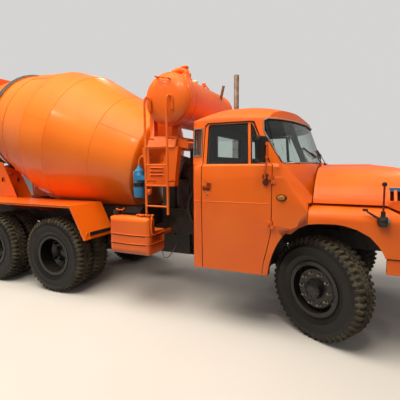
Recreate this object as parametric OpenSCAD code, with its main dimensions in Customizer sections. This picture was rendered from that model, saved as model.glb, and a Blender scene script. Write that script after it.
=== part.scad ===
/* [Wheels and axles] */
// Distance from the front axle to the middle axle
wheelbase = 3690; // [3500:10:3900]
// Distance between the middle and the rear axle
bogie_pitch = 1320; // [1250:10:1450]
// Radius of the tyres over the lugs
tyre_r = 542; // [520:1:552]
// Width of one tyre
tyre_w = 293; // [270:1:300]
// Distance between the middles of the two front tyres
front_track = 1930; // [1900:5:1960]
// Distance between the middles of the left and right rear pairs
rear_track = 1764; // [1740:4:1790]
// Distance between the middles of the two tyres of a pair
twin_pitch = 330; // [316:2:340]
// Distance of the kingpins inside the middles of the front tyres
kingpin_in = 115; // [105:5:125]
// Steering angle of the front wheels as parked, to the right
steer_rest = 31; // [0:1:33]
// Radius of the tyre seat on the rims
rim_r = 262; // [250:1:270]
// Radius over the rim lips
rim_lip_r = 290; // [280:1:296]
// Width over the rim lips
rim_w = 236; // [220:2:246]
// Wall of the rims
rim_wall = 14; // [10:1:18]
// Radius of the wheel nut circle
nut_circle_r = 167; // [155:1:180]
// Number of wheel nuts
nut_count = 10; // [8:1:12]
// Radius of the front wheel spindles
front_spindle_r = 40; // [34:1:46]
// Radius of the rear wheel spindles
rear_spindle_r = 50; // [44:1:56]

/* [Chassis] */
// Distance from the front axle to the face of the bumper
front_overhang = 1240; // [1200:10:1300]
// Radius of the central tube
tube_r = 115; // [100:1:130]
// Height of the middle of the central tube
tube_z = 570; // [550:1:600]
// Outer width of the chassis frame
frame_w = 900; // [860:10:940]
// Height of the top of the chassis frame
frame_top = 1080; // [1060:5:1100]
// Depth of the frame rails
rail_h = 210; // [180:5:240]
// Width of the rail flanges
rail_w = 75; // [60:5:90]
// Thickness of the rail plates
rail_t = 12; // [8:1:16]

/* [Cab] */
// Width of the cab and the wings
cab_w = 2424; // [2380:4:2460]
// Width of the cab at the gutters
gutter_w = 2220; // [2180:4:2260]
// Distance of the cab's back wall behind the front axle
cab_back = 1437; // [1400:1:1470]
// Distance of the joint between cab and bonnet behind the front axle
cowl_x = 145; // [130:1:160]
// Height of the lower edge of the cab
cab_bottom = 668; // [640:1:700]
// Height of the window sills
belt_z = 1833; // [1800:1:1860]
// Height of the gutters
gutter_z = 2320; // [2290:1:2350]
// Height of the middle of the roof
roof_z = 2505; // [2470:1:2540]
// Thickness of the cab's walls and doors
cab_wall = 44; // [36:1:56]
// Height of the cab floor
floor_z = 1140; // [1130:5:1180]
// Gap all round the doors
door_gap = 8; // [6:0.5:10]
// Thickness of the window glass
glass_t = 6; // [4:0.5:8]
// Backward lean of the windscreen
screen_rake = 20; // [15:1:25]

/* [Bonnet and wings] */
// Half of the width of the bonnet
bonnet_half = 1090; // [1080:2:1100]
// Height of the lower edge of the bonnet
bonnet_z = 1447; // [1435:1:1455]
// Height of the bonnet's ridge
ridge_z = 1822; // [1800:1:1830]
// Thickness of the bonnet's edges
bonnet_wall = 22; // [16:1:30]
// Distance of the nose ahead of the front axle
nose_x = 1085; // [1050:5:1110]
// Thickness of the wings' edges
wing_wall = 28; // [20:1:36]
// Height of the wings' front lower edge
wing_bottom = 978; // [960:1:1000]
// Height of the bumper's lower edge
bumper_z = 828; // [810:1:850]
// Depth of the bumper's face
bumper_h = 138; // [120:1:150]

/* [Mixer] */
// Upward slope of the drum's axis towards the back
drum_tilt = 15.7; // [14:0.1:17]
// Distance of the drum's reference point behind the front axle
drum_x = 3500; // [3450:5:3550]
// Height of the drum's reference point
drum_z = 2107; // [2080:1:2140]
// Radius of the drum's widest ring
drum_r = 1097; // [1060:1:1110]
// Radius of the drum's front end
drum_front_r = 765; // [730:1:790]
// Radius of the drum's mouth
mouth_r = 560; // [520:1:600]
// Radius over the roller track
track_r = 899; // [880:1:915]
// Thickness of the drum's wall
drum_wall = 10; // [8:1:16]
// Distance of the front end before the reference point
drum_front_s = 956; // [930:1:980]
// Start of the widest ring behind the reference point
drum_ring_s0 = 374; // [350:1:400]
// End of the widest ring behind the reference point
drum_ring_s1 = 850; // [820:1:880]
// Place of the roller track behind the reference point
track_s = 1811; // [1780:1:1840]
// Place of the mouth behind the reference point
mouth_s = 2700; // [2650:5:2750]
// Radius of the two support rollers
roller_r = 125; // [110:1:140]
// Angle of the support rollers from the drum's lowest line
roller_angle = 27; // [25:0.5:29]
// Height of the top of the mixer's own frame
subframe_top = 1216; // [1200:1:1240]
// Radius of the water tank
water_r = 305; // [280:1:320]
// Height of the middle of the water tank
water_z = 2612; // [2590:1:2630]
// Distance of the water tank's axis behind the front axle
water_x = 1805; // [1785:1:1820]
// Right end of the water tank
water_right = 1150; // [1100:5:1200]
// Left end of the water tank
water_left = 480; // [420:5:540]
// Distance of the chute's pivot behind the drum's mouth
funnel_behind = 231; // [220:1:260]
// Length of the chute's trough
chute_len = 760; // [700:5:900]
// Radius of the chute's trough
chute_r = 190; // [170:1:210]
// Downward slope of the chute as parked
chute_slope = 38; // [30:1:50]

/* [Hidden] */
$fn = 64;
orange = "#ee5a12";
dark = "#2b2a29";
steel = "#8f8f8c";
black = "#161616";
glass = "#9fb4b8";

// Clearance between pieces that lie against each other
seat = 0.3;
// Clearance round pieces that swing past fixed ones
swing_gap = 6;
hub_z = tyre_r;
kingpin_track = front_track - 2 * kingpin_in;
middle_x = -wheelbase;
rear_x = -wheelbase - bogie_pitch;
// The discharge funnel and the chute hang behind the drum's mouth
funnel_x = -drum_x - mouth_s * cos(drum_tilt) - funnel_behind;
chute_lip = 20;
chute_head = 130;
rear_end = funnel_x - (chute_len - chute_head) * cos(chute_slope) - chute_lip * sin(chute_slope);
front_axle_x = -(rear_end + front_overhang) / 2;
half_w = cab_w / 2;
rail_bottom = frame_top - rail_h;

// The whole truck is drawn from the front axle and moved to its origin here
module truck() translate([front_axle_x, 0, 0]) children();
module both() {
    children();
    mirror([0, 1, 0]) children();
}
// An outline in x and z, drawn out over the width
module across(w) rotate([90, 0, 0]) linear_extrude(w, center = true) children();
// An outline in y and z, drawn out along the truck from x0 to x1
module lengthwise(x0, x1) translate([x0, 0, 0]) rotate([90, 0, 90]) linear_extrude(x1 - x0) children();
// A block from one corner to the other
module block(a, b) translate(a) cube(b - a);
// A rectangle with its four corners rounded
module rounded(x0, y0, x1, y1, r) polygon(concat(
    arc([x1 - r, y1 - r], r, 0, 90), arc([x0 + r, y1 - r], r, 90, 180),
    arc([x0 + r, y0 + r], r, 180, 270), arc([x1 - r, y0 + r], r, 270, 360)
));
// A round bar between two points
module bar(a, b, r) {
    d = b - a;
    translate(a) rotate([0, acos(d[2] / norm(d)), atan2(d[1], d[0])]) cylinder(r = r, h = norm(d));
}
// A bent round bar through a row of points
module wire(points, r) {
    for (i = [1 : len(points) - 1]) bar(points[i - 1], points[i], r);
    for (i = [1 : len(points) - 2]) translate(points[i]) sphere(r = 1.08 * r);
}
function arc(c, r, a0, a1, n = 6) =
    [for (i = [0 : n]) let (a = a0 + (a1 - a0) * i / n) [c[0] + r * cos(a), c[1] + r * sin(a)]];

// Wheels. Axial places run outwards from the middle of the front tyre or of the rear pair
tyre_half = tyre_w / 2;
rim_half = rim_w / 2;
lip_t = 11;
bead_half = rim_half - lip_t - seat;
tread_half = 112;
module tyre_ring(a) {
    shoulder = tyre_r - 32;
    rotate_extrude() polygon([
        [rim_r + seat, a - bead_half], [rim_lip_r + 8, a - bead_half],
        [rim_lip_r + 40, a - tyre_half + 14], [400, a - tyre_half], [455, a - tyre_half + 3],
        [shoulder, a - tyre_half + 18], [tyre_r, a - tread_half],
        [tyre_r, a + tread_half], [shoulder, a + tyre_half - 18],
        [455, a + tyre_half - 3], [400, a + tyre_half], [rim_lip_r + 40, a + tyre_half - 14],
        [rim_lip_r + 8, a + bead_half], [rim_r + seat, a + bead_half]
    ]);
}
module rim_barrel(a) {
    rotate_extrude() polygon([
        [rim_r - rim_wall, a - rim_half], [rim_lip_r, a - rim_half],
        [rim_lip_r, a - rim_half + lip_t], [rim_r, a - rim_half + lip_t],
        [rim_r, a + rim_half - lip_t], [rim_lip_r, a + rim_half - lip_t],
        [rim_lip_r, a + rim_half], [rim_r - rim_wall, a + rim_half]
    ]);
}
nut_r = 17;
nut_h = 24;
module nuts(a) {
    for (i = [0 : nut_count - 1]) rotate([0, 0, 360 * i / nut_count])
        translate([nut_circle_r, 0, a]) cylinder(r = nut_r, h = nut_h, $fn = 6);
}
hub_r = 105;
hand_hole_r = 24;
hand_hole_count = 6;
front_disc_a = 62;
disc_t = 14;
front_hub_in = -52;
front_cap = 132;
module front_wheel() {
    barrel_in = rim_r - rim_wall;
    difference() {
        union() {
            rim_barrel(0);
            rotate_extrude() polygon([
                [barrel_in + 4, 30], [barrel_in + 4, 30 + disc_t], [nut_circle_r + 34, front_disc_a + disc_t],
                [hub_r, front_disc_a + disc_t], [hub_r - 12, front_cap], [0, front_cap],
                [0, front_hub_in], [hub_r, front_hub_in], [hub_r, front_disc_a],
                [nut_circle_r + 34, front_disc_a]
            ]);
            nuts(front_disc_a + disc_t - 1);
        }
        translate([0, 0, front_hub_in - 1]) cylinder(r = front_spindle_r + seat, h = 150 + 1);
        for (i = [0 : hand_hole_count - 1]) rotate([0, 0, 360 * (i + 0.5) / hand_hole_count])
            translate([barrel_in - 22, 0, 0]) cylinder(r = hand_hole_r - 4, h = front_disc_a + disc_t + 1);
    }
}
twin_half = twin_pitch / 2;
pair_disc_a = 10;
pair_cap = 96;
module wheel_pair() {
    barrel_in = rim_r - rim_wall;
    foot = twin_half - rim_half + 16;
    difference() {
        union() {
            rim_barrel(twin_half);
            rim_barrel(-twin_half);
            rotate_extrude() polygon([
                [barrel_in + 4, foot], [barrel_in + 4, foot + disc_t],
                [nut_circle_r + 34, pair_disc_a + disc_t], [hub_r, pair_disc_a + disc_t],
                [hub_r - 14, pair_cap], [0, pair_cap], [0, -pair_disc_a - disc_t],
                [nut_circle_r + 34, -pair_disc_a - disc_t], [barrel_in + 4, -foot - disc_t],
                [barrel_in + 4, -foot], [nut_circle_r + 40, 0]
            ]);
            nuts(pair_disc_a + disc_t - 1);
        }
        translate([0, 0, -pair_disc_a - disc_t - 1])
            cylinder(r = rear_spindle_r + seat, h = pair_disc_a + disc_t + 1 + 70);
        for (i = [0 : hand_hole_count - 1]) rotate([0, 0, 360 * (i + 0.5) / hand_hole_count])
            translate([barrel_in - 26, 0, -90]) cylinder(r = hand_hole_r - 4, h = 180);
    }
}
// A wheel on its hub: side is 1 on the left and -1 on the right
module on_hub(x, y, side) translate([x, side * y, hub_z]) rotate([-90 * side, 0, 0]) children();
// The front wheels are turned round their kingpins
module steered(side) translate([0, side * kingpin_track / 2, 0]) rotate([0, 0, -steer_rest])
    translate([0, -side * kingpin_track / 2, 0]) children();
module front_tyre(side) color(black) truck() steered(side) on_hub(0, front_track / 2, side) tyre_ring(0);
module pair_tyres(x, side) color(black) truck() on_hub(x, rear_track / 2, side) {
    tyre_ring(twin_half);
    tyre_ring(-twin_half);
}
module front_rim(side) color(dark) truck() steered(side) on_hub(0, front_track / 2, side) front_wheel();
module pair_rims(x, side) color(dark) truck() on_hub(x, rear_track / 2, side) wheel_pair();

// Knuckle on its kingpin, with the brake's back plate and the spindle
kingpin_r = 22;
boss_r = 46;
boss_half = 70;
yoke_t = 30;
yoke_gap = 2;
// Room that the tyres need round the kingpins
wheel_sweep_r = norm([tyre_r, kingpin_in + tyre_half]) + swing_gap;
plate_a = 47;
brake_r = 190;
spindle_end = front_track / 2 + 92;
module knuckle(side) color(dark) truck() steered(side) {
    king = kingpin_track / 2;
    difference() {
        union() {
            translate([0, side * king, hub_z - boss_half]) cylinder(r = boss_r, h = 2 * boss_half);
            on_hub(0, king, side) cylinder(r = front_spindle_r, h = spindle_end - king);
            on_hub(0, king + plate_a, side) cylinder(r = brake_r, h = 12);
        }
        translate([0, side * king, hub_z - boss_half - 1])
            cylinder(r = kingpin_r + seat, h = 2 * boss_half + 2);
    }
}

// Central tube with its drive housings, gearbox and transfer case
housing_r = 185;
housing_half = 190;
flange_out_r = 110;
flange_out_y = 215;
module backbone_tube() color(dark) truck() {
    translate([rear_x - 260, 0, tube_z]) rotate([0, 90, 0]) cylinder(r = tube_r, h = -rear_x + 260 + 260);
    for (x = [0, middle_x, rear_x]) translate([x - housing_half, 0, tube_z]) rotate([0, 90, 0]) {
        cylinder(r = housing_r, h = 2 * housing_half);
        translate([0, 0, -60]) cylinder(r1 = tube_r, r2 = housing_r, h = 60);
        translate([0, 0, 2 * housing_half]) cylinder(r1 = housing_r, r2 = tube_r, h = 60);
    }
    for (x = [0, middle_x, rear_x]) translate([x, 0, hub_z]) rotate([90, 0, 0])
        cylinder(r = flange_out_r, h = 2 * flange_out_y, center = true);
    translate([0, 0, tube_z]) {
        block([-2450, -210, -60], [-1950, 210, 330]);
        block([-1950, -150, 90], [-620, 150, 310]);
    }
    // Brackets that carry the frame
    for (x = [-700, -2200, middle_x + 440, rear_x - 200])
        block([x, -frame_w / 2, rail_bottom - 30], [x + 120, frame_w / 2, rail_bottom]);
    for (x = [-700, -2200, middle_x + 440, rear_x - 200])
        block([x, -90, tube_z], [x + 120, 90, rail_bottom - 20]);
}

module rail(x0, x1, top, h) {
    half = frame_w / 2;
    lengthwise(x0, x1) polygon([
        [half, top], [half - rail_w, top], [half - rail_w, top - rail_t], [half - rail_t, top - rail_t],
        [half - rail_t, top - h + rail_t], [half - rail_w, top - h + rail_t], [half - rail_w, top - h],
        [half, top - h]
    ]);
}
frame_end = rear_x - 1080;
frame_front = 960;
module chassis_frame() color(dark) truck() {
    both() rail(frame_end, frame_front, frame_top, rail_h);
    for (x = [frame_end, rear_x + 500, middle_x + 600, -2900, -1500, frame_front - 80])
        block([x, -frame_w / 2 + rail_t + seat, rail_bottom + 20],
            [x + 80, frame_w / 2 - rail_t - seat, frame_top - 20]);
    // Rear towing jaw
    difference() {
        block([frame_end - 130, -70, rail_bottom + 20], [frame_end - seat, 70, frame_top - 40]);
        block([frame_end - 131, -71, rail_bottom + 75], [frame_end - 40, 71, frame_top - 95]);
        translate([frame_end - 80, 0, rail_bottom]) cylinder(r = 20, h = rail_h);
    }
}

module engine_block() color(steel) truck() {
    // The engine is one plain block on its mounts
    block([-120, -320, 900], [850, 320, 1560]);
    both() block([100, 320, frame_top + seat], [220, 440, frame_top + 60]);
}

axle_r = 74;
front_axle_r = 62;
rear_brake_r = 200;
module half_axles() color(dark) truck() {
    king = kingpin_track / 2;
    start = flange_out_y + seat;
    for (side = [-1, 1]) {
        // Front half axle with the yoke of the kingpin
        on_hub(0, start, side) cylinder(r = front_axle_r, h = king - 125 - start);
        for (s = [-1, 1]) block(
            [-30, min(side * (king - 130), side * (king + 30)),
                hub_z + s * (boss_half + yoke_gap + yoke_t / 2) - yoke_t / 2],
            [30, max(side * (king - 130), side * (king + 30)),
                hub_z + s * (boss_half + yoke_gap + yoke_t / 2) + yoke_t / 2]);
        block([-30, min(side * (king - 130), side * (king - 100)), hub_z - boss_half - 30],
            [30, max(side * (king - 130), side * (king - 100)), hub_z + boss_half + 30]);
        translate([0, side * king, hub_z - boss_half - 40]) cylinder(r = kingpin_r, h = 2 * boss_half + 80);
        // Rear half axles with brake drums and spindles
        for (x = [middle_x, rear_x]) {
            on_hub(x, start, side) cylinder(r = axle_r, h = rear_track / 2 - start - 60);
            on_hub(x, rear_track / 2 - 190, side) cylinder(r = rear_brake_r, h = 145);
            on_hub(x, rear_track / 2 - 60, side) cylinder(r = rear_spindle_r, h = 60 + 66);
        }
    }
}

// Leaf springs of the bogie, longest leaf at the bottom
leaf_t = 16;
leaf_count = 8;
module rear_springs() color(dark) truck() both() {
    mid = (middle_x + rear_x) / 2;
    for (i = [0 : leaf_count - 1]) {
        half = bogie_pitch / 2 - 60 - i * 62;
        z = hub_z + axle_r + seat + i * leaf_t;
        block([mid - half, 350, z], [mid + half, 440, z + leaf_t]);
    }
    block([mid - 90, 345, hub_z + axle_r + leaf_count * leaf_t], [mid + 90, 445, rail_bottom]);
    for (s = [-1, 1]) block([mid + s * (bogie_pitch / 2) - 70, 350, hub_z + axle_r + seat],
        [mid + s * (bogie_pitch / 2) + 70, 440, hub_z + axle_r + seat + leaf_t]);
}

// Cab. The same outlines serve the outside, and set in by t, the inside
screen_foot_x = -150;
screen_top_x = screen_foot_x - tan(screen_rake) * (gutter_z - belt_z);
crease_z = 1430;
lean = 26;
// One half of the roof's section, from the gutter to the middle
function roof_line(t) = let (g = gutter_w / 2) [
    [g - t, gutter_z], [g - 8 - t, gutter_z + 28], [g - 32 - t, gutter_z + 58],
    [g - 78 - t, gutter_z + 92 - t],
    [g - 150, gutter_z + 124 - t], [g - 250, roof_z - 40 - t], [g - 400, roof_z - 24 - t],
    [g - 620, roof_z - 9 - t],
    [g - 860, roof_z - 2 - t], [0, roof_z - t]
];
function mirrored(points) = [for (i = [len(points) - 1 : -1 : 0]) [-points[i][0], points[i][1]]];
module cab_front_outline(t) {
    side = concat([
        [half_w - lean - t, 0], [half_w - lean - t, cab_bottom], [half_w - t, crease_z],
        [half_w - 4 - t, 1700],
        [half_w - 14 - t, belt_z - 20], [half_w - 46 - t, belt_z + 10]
    ], roof_line(t));
    polygon(concat(side, mirrored(side)));
}
// The roof falls away in a bow towards the windscreen
roof_bow_x = -900;
roof_bow_z = 1005;
module roof_bow(t) {
    block([-1600, -1500, 0], [roof_bow_x, 1500, 2700]);
    block([roof_bow_x - 1, -1500, 0], [0, 1500, gutter_z]);
    crown = roof_line(t);
    ring = concat([[0, gutter_w / 2 - t]], [for (c = crown) [c[1] - roof_bow_z, c[0]]],
        [for (i = [len(crown) - 2 : -1 : 0]) [crown[i][1] - roof_bow_z, -crown[i][0]]],
        [[0, -gutter_w / 2 + t]]);
    translate([roof_bow_x, 0, roof_bow_z]) rotate([90, 0, 0]) rotate_extrude($fn = 180) polygon(ring);
}
module cab_side_outline(t) {
    polygon(concat(
        [[-cab_back + t, cab_bottom], [-cab_back + t, gutter_z]],
        arc([-cab_back + t + 110, gutter_z + 60], 110, 180, 105, 5),
        [[-1250, roof_z - 16 - t], [-1100, roof_z - t], [-600, roof_z + 20 - t],
            [screen_top_x - 60, gutter_z + 78 - t], [screen_top_x - 10 - t, gutter_z + 40 - t],
            [screen_top_x + 12 - t, gutter_z - t],
            [screen_foot_x - t, belt_z + 8], [-cowl_x - t, belt_z], [-cowl_x - t, cab_bottom]]
    ));
}
// The cowl narrows from the doors to the bonnet, drawn out along a lean of its own
cowl_lean = 35;
module cowl_bend(t) {
    c = cos(cowl_lean);
    side = [[-2800, half_w + 60], [-376 * c - t, half_w + 60], [-370 * c - t, half_w - t],
        [-350 * c - t, half_w - 12 - t], [-300 * c - t, half_w - 72 - t], [-230 * c - t, half_w - 152 - t],
        [-150 * c - t, half_w - 252 - t], [-80 * c - t, half_w - 382 - t], [-30 * c - t, half_w - 512 - t],
        [-t, half_w - 652]];
    translate([-cowl_x + 10, 0, belt_z]) rotate([0, -cowl_lean, 0]) translate([0, 0, -2200])
        linear_extrude(3400)
            polygon(concat(side, [for (i = [len(side) - 1 : -1 : 0]) [side[i][0], -side[i][1]]]));
}
// The windscreen's bend, drawn out along its rake
module screen_bend(t) {
    translate([screen_foot_x, 0, belt_z]) rotate([0, -screen_rake, 0]) translate([0, 0, -400])
        linear_extrude(1300) polygon([
            [-1500, half_w], [-330, half_w], [-276 - t, half_w - 70 - t], [-220 - t, half_w - 150 - t],
            [-150 - t, half_w - 260 - t], [-80 - t, half_w - 470], [-30 - t, half_w - 760], [0 - t, 240],
            [0 - t, -240], [-30 - t, -half_w + 760], [-80 - t, -half_w + 470], [-150 - t, -half_w + 260 + t],
            [-220 - t, -half_w + 150 + t], [-276 - t, -half_w + 70 + t], [-330, -half_w], [-1500, -half_w]
        ]);
}
module cab_body(t) intersection() {
    across(3000) cab_side_outline(t);
    lengthwise(-1600, 0) cab_front_outline(t);
    roof_bow(t);
    linear_extrude(2700) cab_rear_plan(t);
    union() {
        intersection() {
            cowl_bend(t);
            union() {
                block([-1600, -1500, 0], [-174, 1500, belt_z + 9]);
                block([-1600, -1500, bonnet_z], [0, 1500, belt_z + 9]);
            }
        }
        intersection() {
            block([-1600, -1500, belt_z + 8], [0, 1500, 2700]);
            screen_bend(t);
        }
    }
}
module cab_rear_plan(t) polygon(concat(
    [[0, -half_w - 10]], [[0, half_w + 10]],
    [[-cab_back + 90, half_w + 10]],
    arc([-cab_back + 90, half_w - 90], 90 - t, 90, 180, 5),
    arc([-cab_back + 90, -half_w + 90], 90 - t, 180, 270, 5),
    [[-cab_back + 90, -half_w - 10]]
));
// The wheel arch, over the whole width
arch_points = [[-564, 600], [-564, 681], [-545, 780], [-485, 936], [-400, 1062], [-280, 1165], [-130, 1236],
    [0, 1258], [130, 1256], [270, 1224], [380, 1165], [450, 1090], [500, 1000], [511, 978], [511, 600]];
module arch() across(3000) polygon(arch_points);
module cab_space() {
    // Room inside the cab, kept clear of the wheel arches
    intersection() {
        cab_body(cab_wall);
        across(3000) polygon([
            [-cab_back, floor_z], [-640, floor_z], [-560, 1330], [-cowl_x, 1330],
            [0, belt_z], [0, 2700], [-cab_back, 2700]
        ]);
    }
    // Open space under the floor, between the skirts
    intersection() {
        cab_body(cab_wall);
        across(3000) polygon([
            [-cab_back - 10, 0], [-cab_back - 10, floor_z - cab_wall], [-690, floor_z - cab_wall],
            [-640, 960], [-620, 0]
        ]);
    }
    block([-640, -540, 0], [0, 540, 1290]);
    both() intersection() {
        translate([0, kingpin_track / 2, 0]) cylinder(r = wheel_sweep_r, h = floor_z - cab_wall);
        block([-700, 0, 0], [0, half_w - lean - cab_wall, 1200]);
    }
    block([-cab_back - 10, -520, 0], [-600, 520, floor_z - cab_wall]);
}
door_back = 1312;
handle_depth = 24;
// Outline of the door's opening, set in by g for the door itself
function door_outline(g) = [
    [-door_back + g, cab_bottom - 10], [-622 - g, cab_bottom - 10], [-600 - g, 820], [-560 - g, 980],
    [-532 - g, 1120], [-524 - g, 1300], [-523 - g, belt_z - 6], [-552 - g, belt_z + 10],
    [-742 - g, 2286 - g], [-790, 2292 - g], [-1270, 2292 - g], [-1300 + g, 2262 - g], [-door_back + g, belt_z]
];
// Door hinges: the cab carries the lower knuckle with its pin, the door the upper one
hinge_x = -526;
hinge_y = half_w + 4;
hinge_r = 12;
hinge_pin_r = 5;
hinge_half = 40;
hinge_heights = [1215, 1680];
module cab_knuckles() both() for (z = hinge_heights) {
    translate([hinge_x, hinge_y, z - hinge_half]) cylinder(r = hinge_r, h = hinge_half - 1);
    block([hinge_x, half_w - 16, z - hinge_half], [hinge_x + 38, hinge_y + hinge_r, z - 1]);
    translate([hinge_x, hinge_y, z - hinge_half]) cylinder(r = hinge_pin_r, h = 2 * hinge_half);
}
module door_knuckles(side) for (z = hinge_heights) difference() {
    union() {
        translate([hinge_x, side * hinge_y, z + 1]) cylinder(r = hinge_r, h = hinge_half - 1);
        translate([0, side * hinge_y, z + 1]) {
            block([hinge_x - 38, -16, 0], [hinge_x - 9, 16, hinge_half - 1]);
            block([hinge_x - 10, -7, 0], [hinge_x, 7, hinge_half - 1]);
        }
    }
    translate([hinge_x, side * hinge_y, z]) cylinder(r = hinge_pin_r + seat, h = 2 * hinge_half);
}
module knuckle_room(side, z0) for (z = hinge_heights)
    translate([hinge_x, side * hinge_y, z + z0]) cylinder(r = hinge_r + swing_gap, h = hinge_half + 6);
// Bonnet hinges: the cab carries the inner knuckle with its pin, the bonnet the outer one
bonnet_hinge_x = -130;
bonnet_hinge_z = 1838;
bonnet_hinge_y = 320;
module cowl_knuckles() both() translate([bonnet_hinge_x, bonnet_hinge_y, bonnet_hinge_z]) rotate([90, 0, 0]) {
    translate([0, 0, 1]) cylinder(r = hinge_r, h = hinge_half - 1);
    translate([0, 0, -hinge_half]) cylinder(r = hinge_pin_r, h = 2 * hinge_half);
    translate([-24, -hinge_r, 1]) cube([24, hinge_r + 4, hinge_half - 1]);
}
module bonnet_knuckles() both() translate([bonnet_hinge_x, bonnet_hinge_y, bonnet_hinge_z]) rotate([90, 0, 0])
    difference() {
        union() {
            translate([0, 0, -hinge_half]) cylinder(r = hinge_r, h = hinge_half - 1);
            translate([0, -38, -hinge_half]) cube([26, 38 + 4, hinge_half - 1]);
        }
        translate([0, 0, -hinge_half - 1]) cylinder(r = hinge_pin_r + seat, h = 2 * hinge_half + 2);
    }
window_points = concat(arc([-1228, 2240], 26, 90, 180, 3),
    [[-1262, belt_z + 8], [-790, belt_z + 8], [-812, 2266]]);
vent_points = [[-756, belt_z + 8], [-584, belt_z + 8], [-748, 2230], [-778, 2266]];
screen_points = [[-452, belt_z + 22], [-420, belt_z + 6], [200, belt_z + 6], [200, gutter_z - 16],
    [-610, gutter_z - 16], [-640, gutter_z - 34], [-634, gutter_z - 140]];
glass_in = 12;
rear_window_y = 520;
rear_window_z0 = 1930;
rear_window_z1 = 2220;
module corner_window() {
    // Window in each back corner of the cab
    intersection() {
        both() translate([-cab_back + 60, half_w - 110, 2080]) rotate([0, 0, 135]) rotate([90, 0, 90])
            linear_extrude(400, center = true) square([150, 300], center = true);
        block([-1600, -1500, 1800], [-1330, 1500, 2400]);
    }
}
module cab_shell() color(orange) truck() {
    cab_skin();
    cab_knuckles();
    cowl_knuckles();
    // Feet on the chassis frame
    both() for (x = [-1330, -740]) block([x, frame_w / 2 - rail_w, frame_top + seat],
        [x + 90, frame_w / 2, floor_z - cab_wall + 1]);
}
// The floor's edge ends clear of the door's inner face, which leans in below the crease
sill_y = half_w - lean - cab_wall - swing_gap;
module cab_skin() difference() {
    cab_body(0);
    cab_space();
    arch();
    difference() {
        across(3000) polygon(door_outline(0));
        block([-1500, -sill_y, 0], [0, sill_y, 1400]);
        block([-1500, -900, 1399], [0, 900, 3000]);
    }
    intersection() {
        across(3000) polygon(screen_points);
        block([-700, -1500, 1800], [200, 1500, 2400]);
    }
    block([-cab_back - 50, -rear_window_y, rear_window_z0], [-cab_back + 200, rear_window_y, rear_window_z1]);
    corner_window();
    for (side = [-1, 1]) knuckle_room(side, -3);
}
module door(side) color(orange) truck() {
    difference() {
        intersection() {
            cab_body(0);
            across(3000) polygon(door_outline(door_gap));
            if (side > 0) block([-1500, 900, 0], [0, 1500, 2600]);
            else block([-1500, -1500, 0], [0, -900, 2600]);
        }
        cab_body(cab_wall);
        across(3000) polygon(window_points);
        across(3000) polygon(vent_points);
        knuckle_room(side, -hinge_half - 3);
        // Pocket of the outer handle
        translate([-1214, side * half_w, 1585]) rotate([90, 0, 0])
            linear_extrude(2 * handle_depth, center = true) {
            square([60, 78], center = true);
            square([44, 96], center = true);
        }
    }
    door_knuckles(side);
}
module door_glass(side) color(glass) truck() intersection() {
    difference() {
        cab_body(glass_in);
        cab_body(glass_in + glass_t);
    }
    union() {
        across(3000) polygon(window_points);
        across(3000) polygon(vent_points);
    }
    if (side > 0) block([-1500, 900, 0], [0, 1500, 2600]);
    else block([-1500, -1500, 0], [0, -900, 2600]);
}
module cab_glazing() color(glass) truck() {
    intersection() {
        difference() {
            cab_body(glass_in);
            cab_body(glass_in + glass_t);
        }
        union() {
            intersection() {
                across(3000) polygon(screen_points);
                block([-700, -1500, 1800], [200, 1500, 2400]);
            }
            block([-cab_back - 50, -rear_window_y, rear_window_z0],
                [-cab_back + 100, rear_window_y, rear_window_z1]);
            corner_window();
        }
    }
}
wheel_y = 480;
module cab_interior() color(black) truck() {
    // Bench with its back, carried on a box
    block([-1310, -1000, floor_z], [-900, 1000, floor_z + 150]);
    block([-1330, -1020, floor_z + 150], [-860, 1020, floor_z + 300]);
    translate([-1325, 0, floor_z + 299]) rotate([0, -8, 0]) block([0, -1020, 0], [110, 1020, 420]);
    // Dashboard on the bulkhead
    intersection() {
        cab_body(cab_wall + seat);
        block([-420, -1000, 1500], [0, 1000, 1760]);
    }
    // Steering column and wheel
    bar([-800 + 464 * sin(36), wheel_y, 1720 - 464 * cos(36)], [-800, wheel_y, 1720], 24);
    translate([-800, wheel_y, 1720]) rotate([0, -36, 0]) {
        difference() {
            cylinder(r = 250, h = 28);
            translate([0, 0, -1]) cylinder(r = 222, h = 30);
        }
        for (a = [0, 120, 240]) rotate([0, 0, a]) block([0, -14, 4], [230, 14, 20]);
        cylinder(r = 50, h = 30);
    }
}

// Mirrors on arms from the upper door hinges
mirror_y = half_w + 118;
mirror_z0 = 1850;
mirror_h = 262;
mirror_wd = 172;
mirror_turn = 20;
module mirror_head(side) color(black) truck() {
    // Foot on the door's skin beside the upper hinge
    foot = [side * (half_w - 2.7), side * (half_w + 30)];
    block([-614, min(foot), 1640], [-570, max(foot), 1724]);
    bar([-592, side * (half_w + 18), 1700], [-600, side * (mirror_y - 20), 1790], 9);
    bar([-600, side * (mirror_y - 20), 1788], [-600, side * (mirror_y - 20), 2050], 9);
    translate([-600, side * mirror_y, mirror_z0]) rotate([0, 0, side * mirror_turn])
        translate([-23, 0, mirror_h / 2]) rotate([90, 0, 90]) linear_extrude(46) {
            square([mirror_wd, mirror_h - 80], center = true);
            square([mirror_wd - 80, mirror_h], center = true);
            for (sx = [-1, 1]) for (sz = [-1, 1])
                translate([sx * (mirror_wd / 2 - 40), sz * (mirror_h / 2 - 40)]) circle(r = 40);
        }
}

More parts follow.
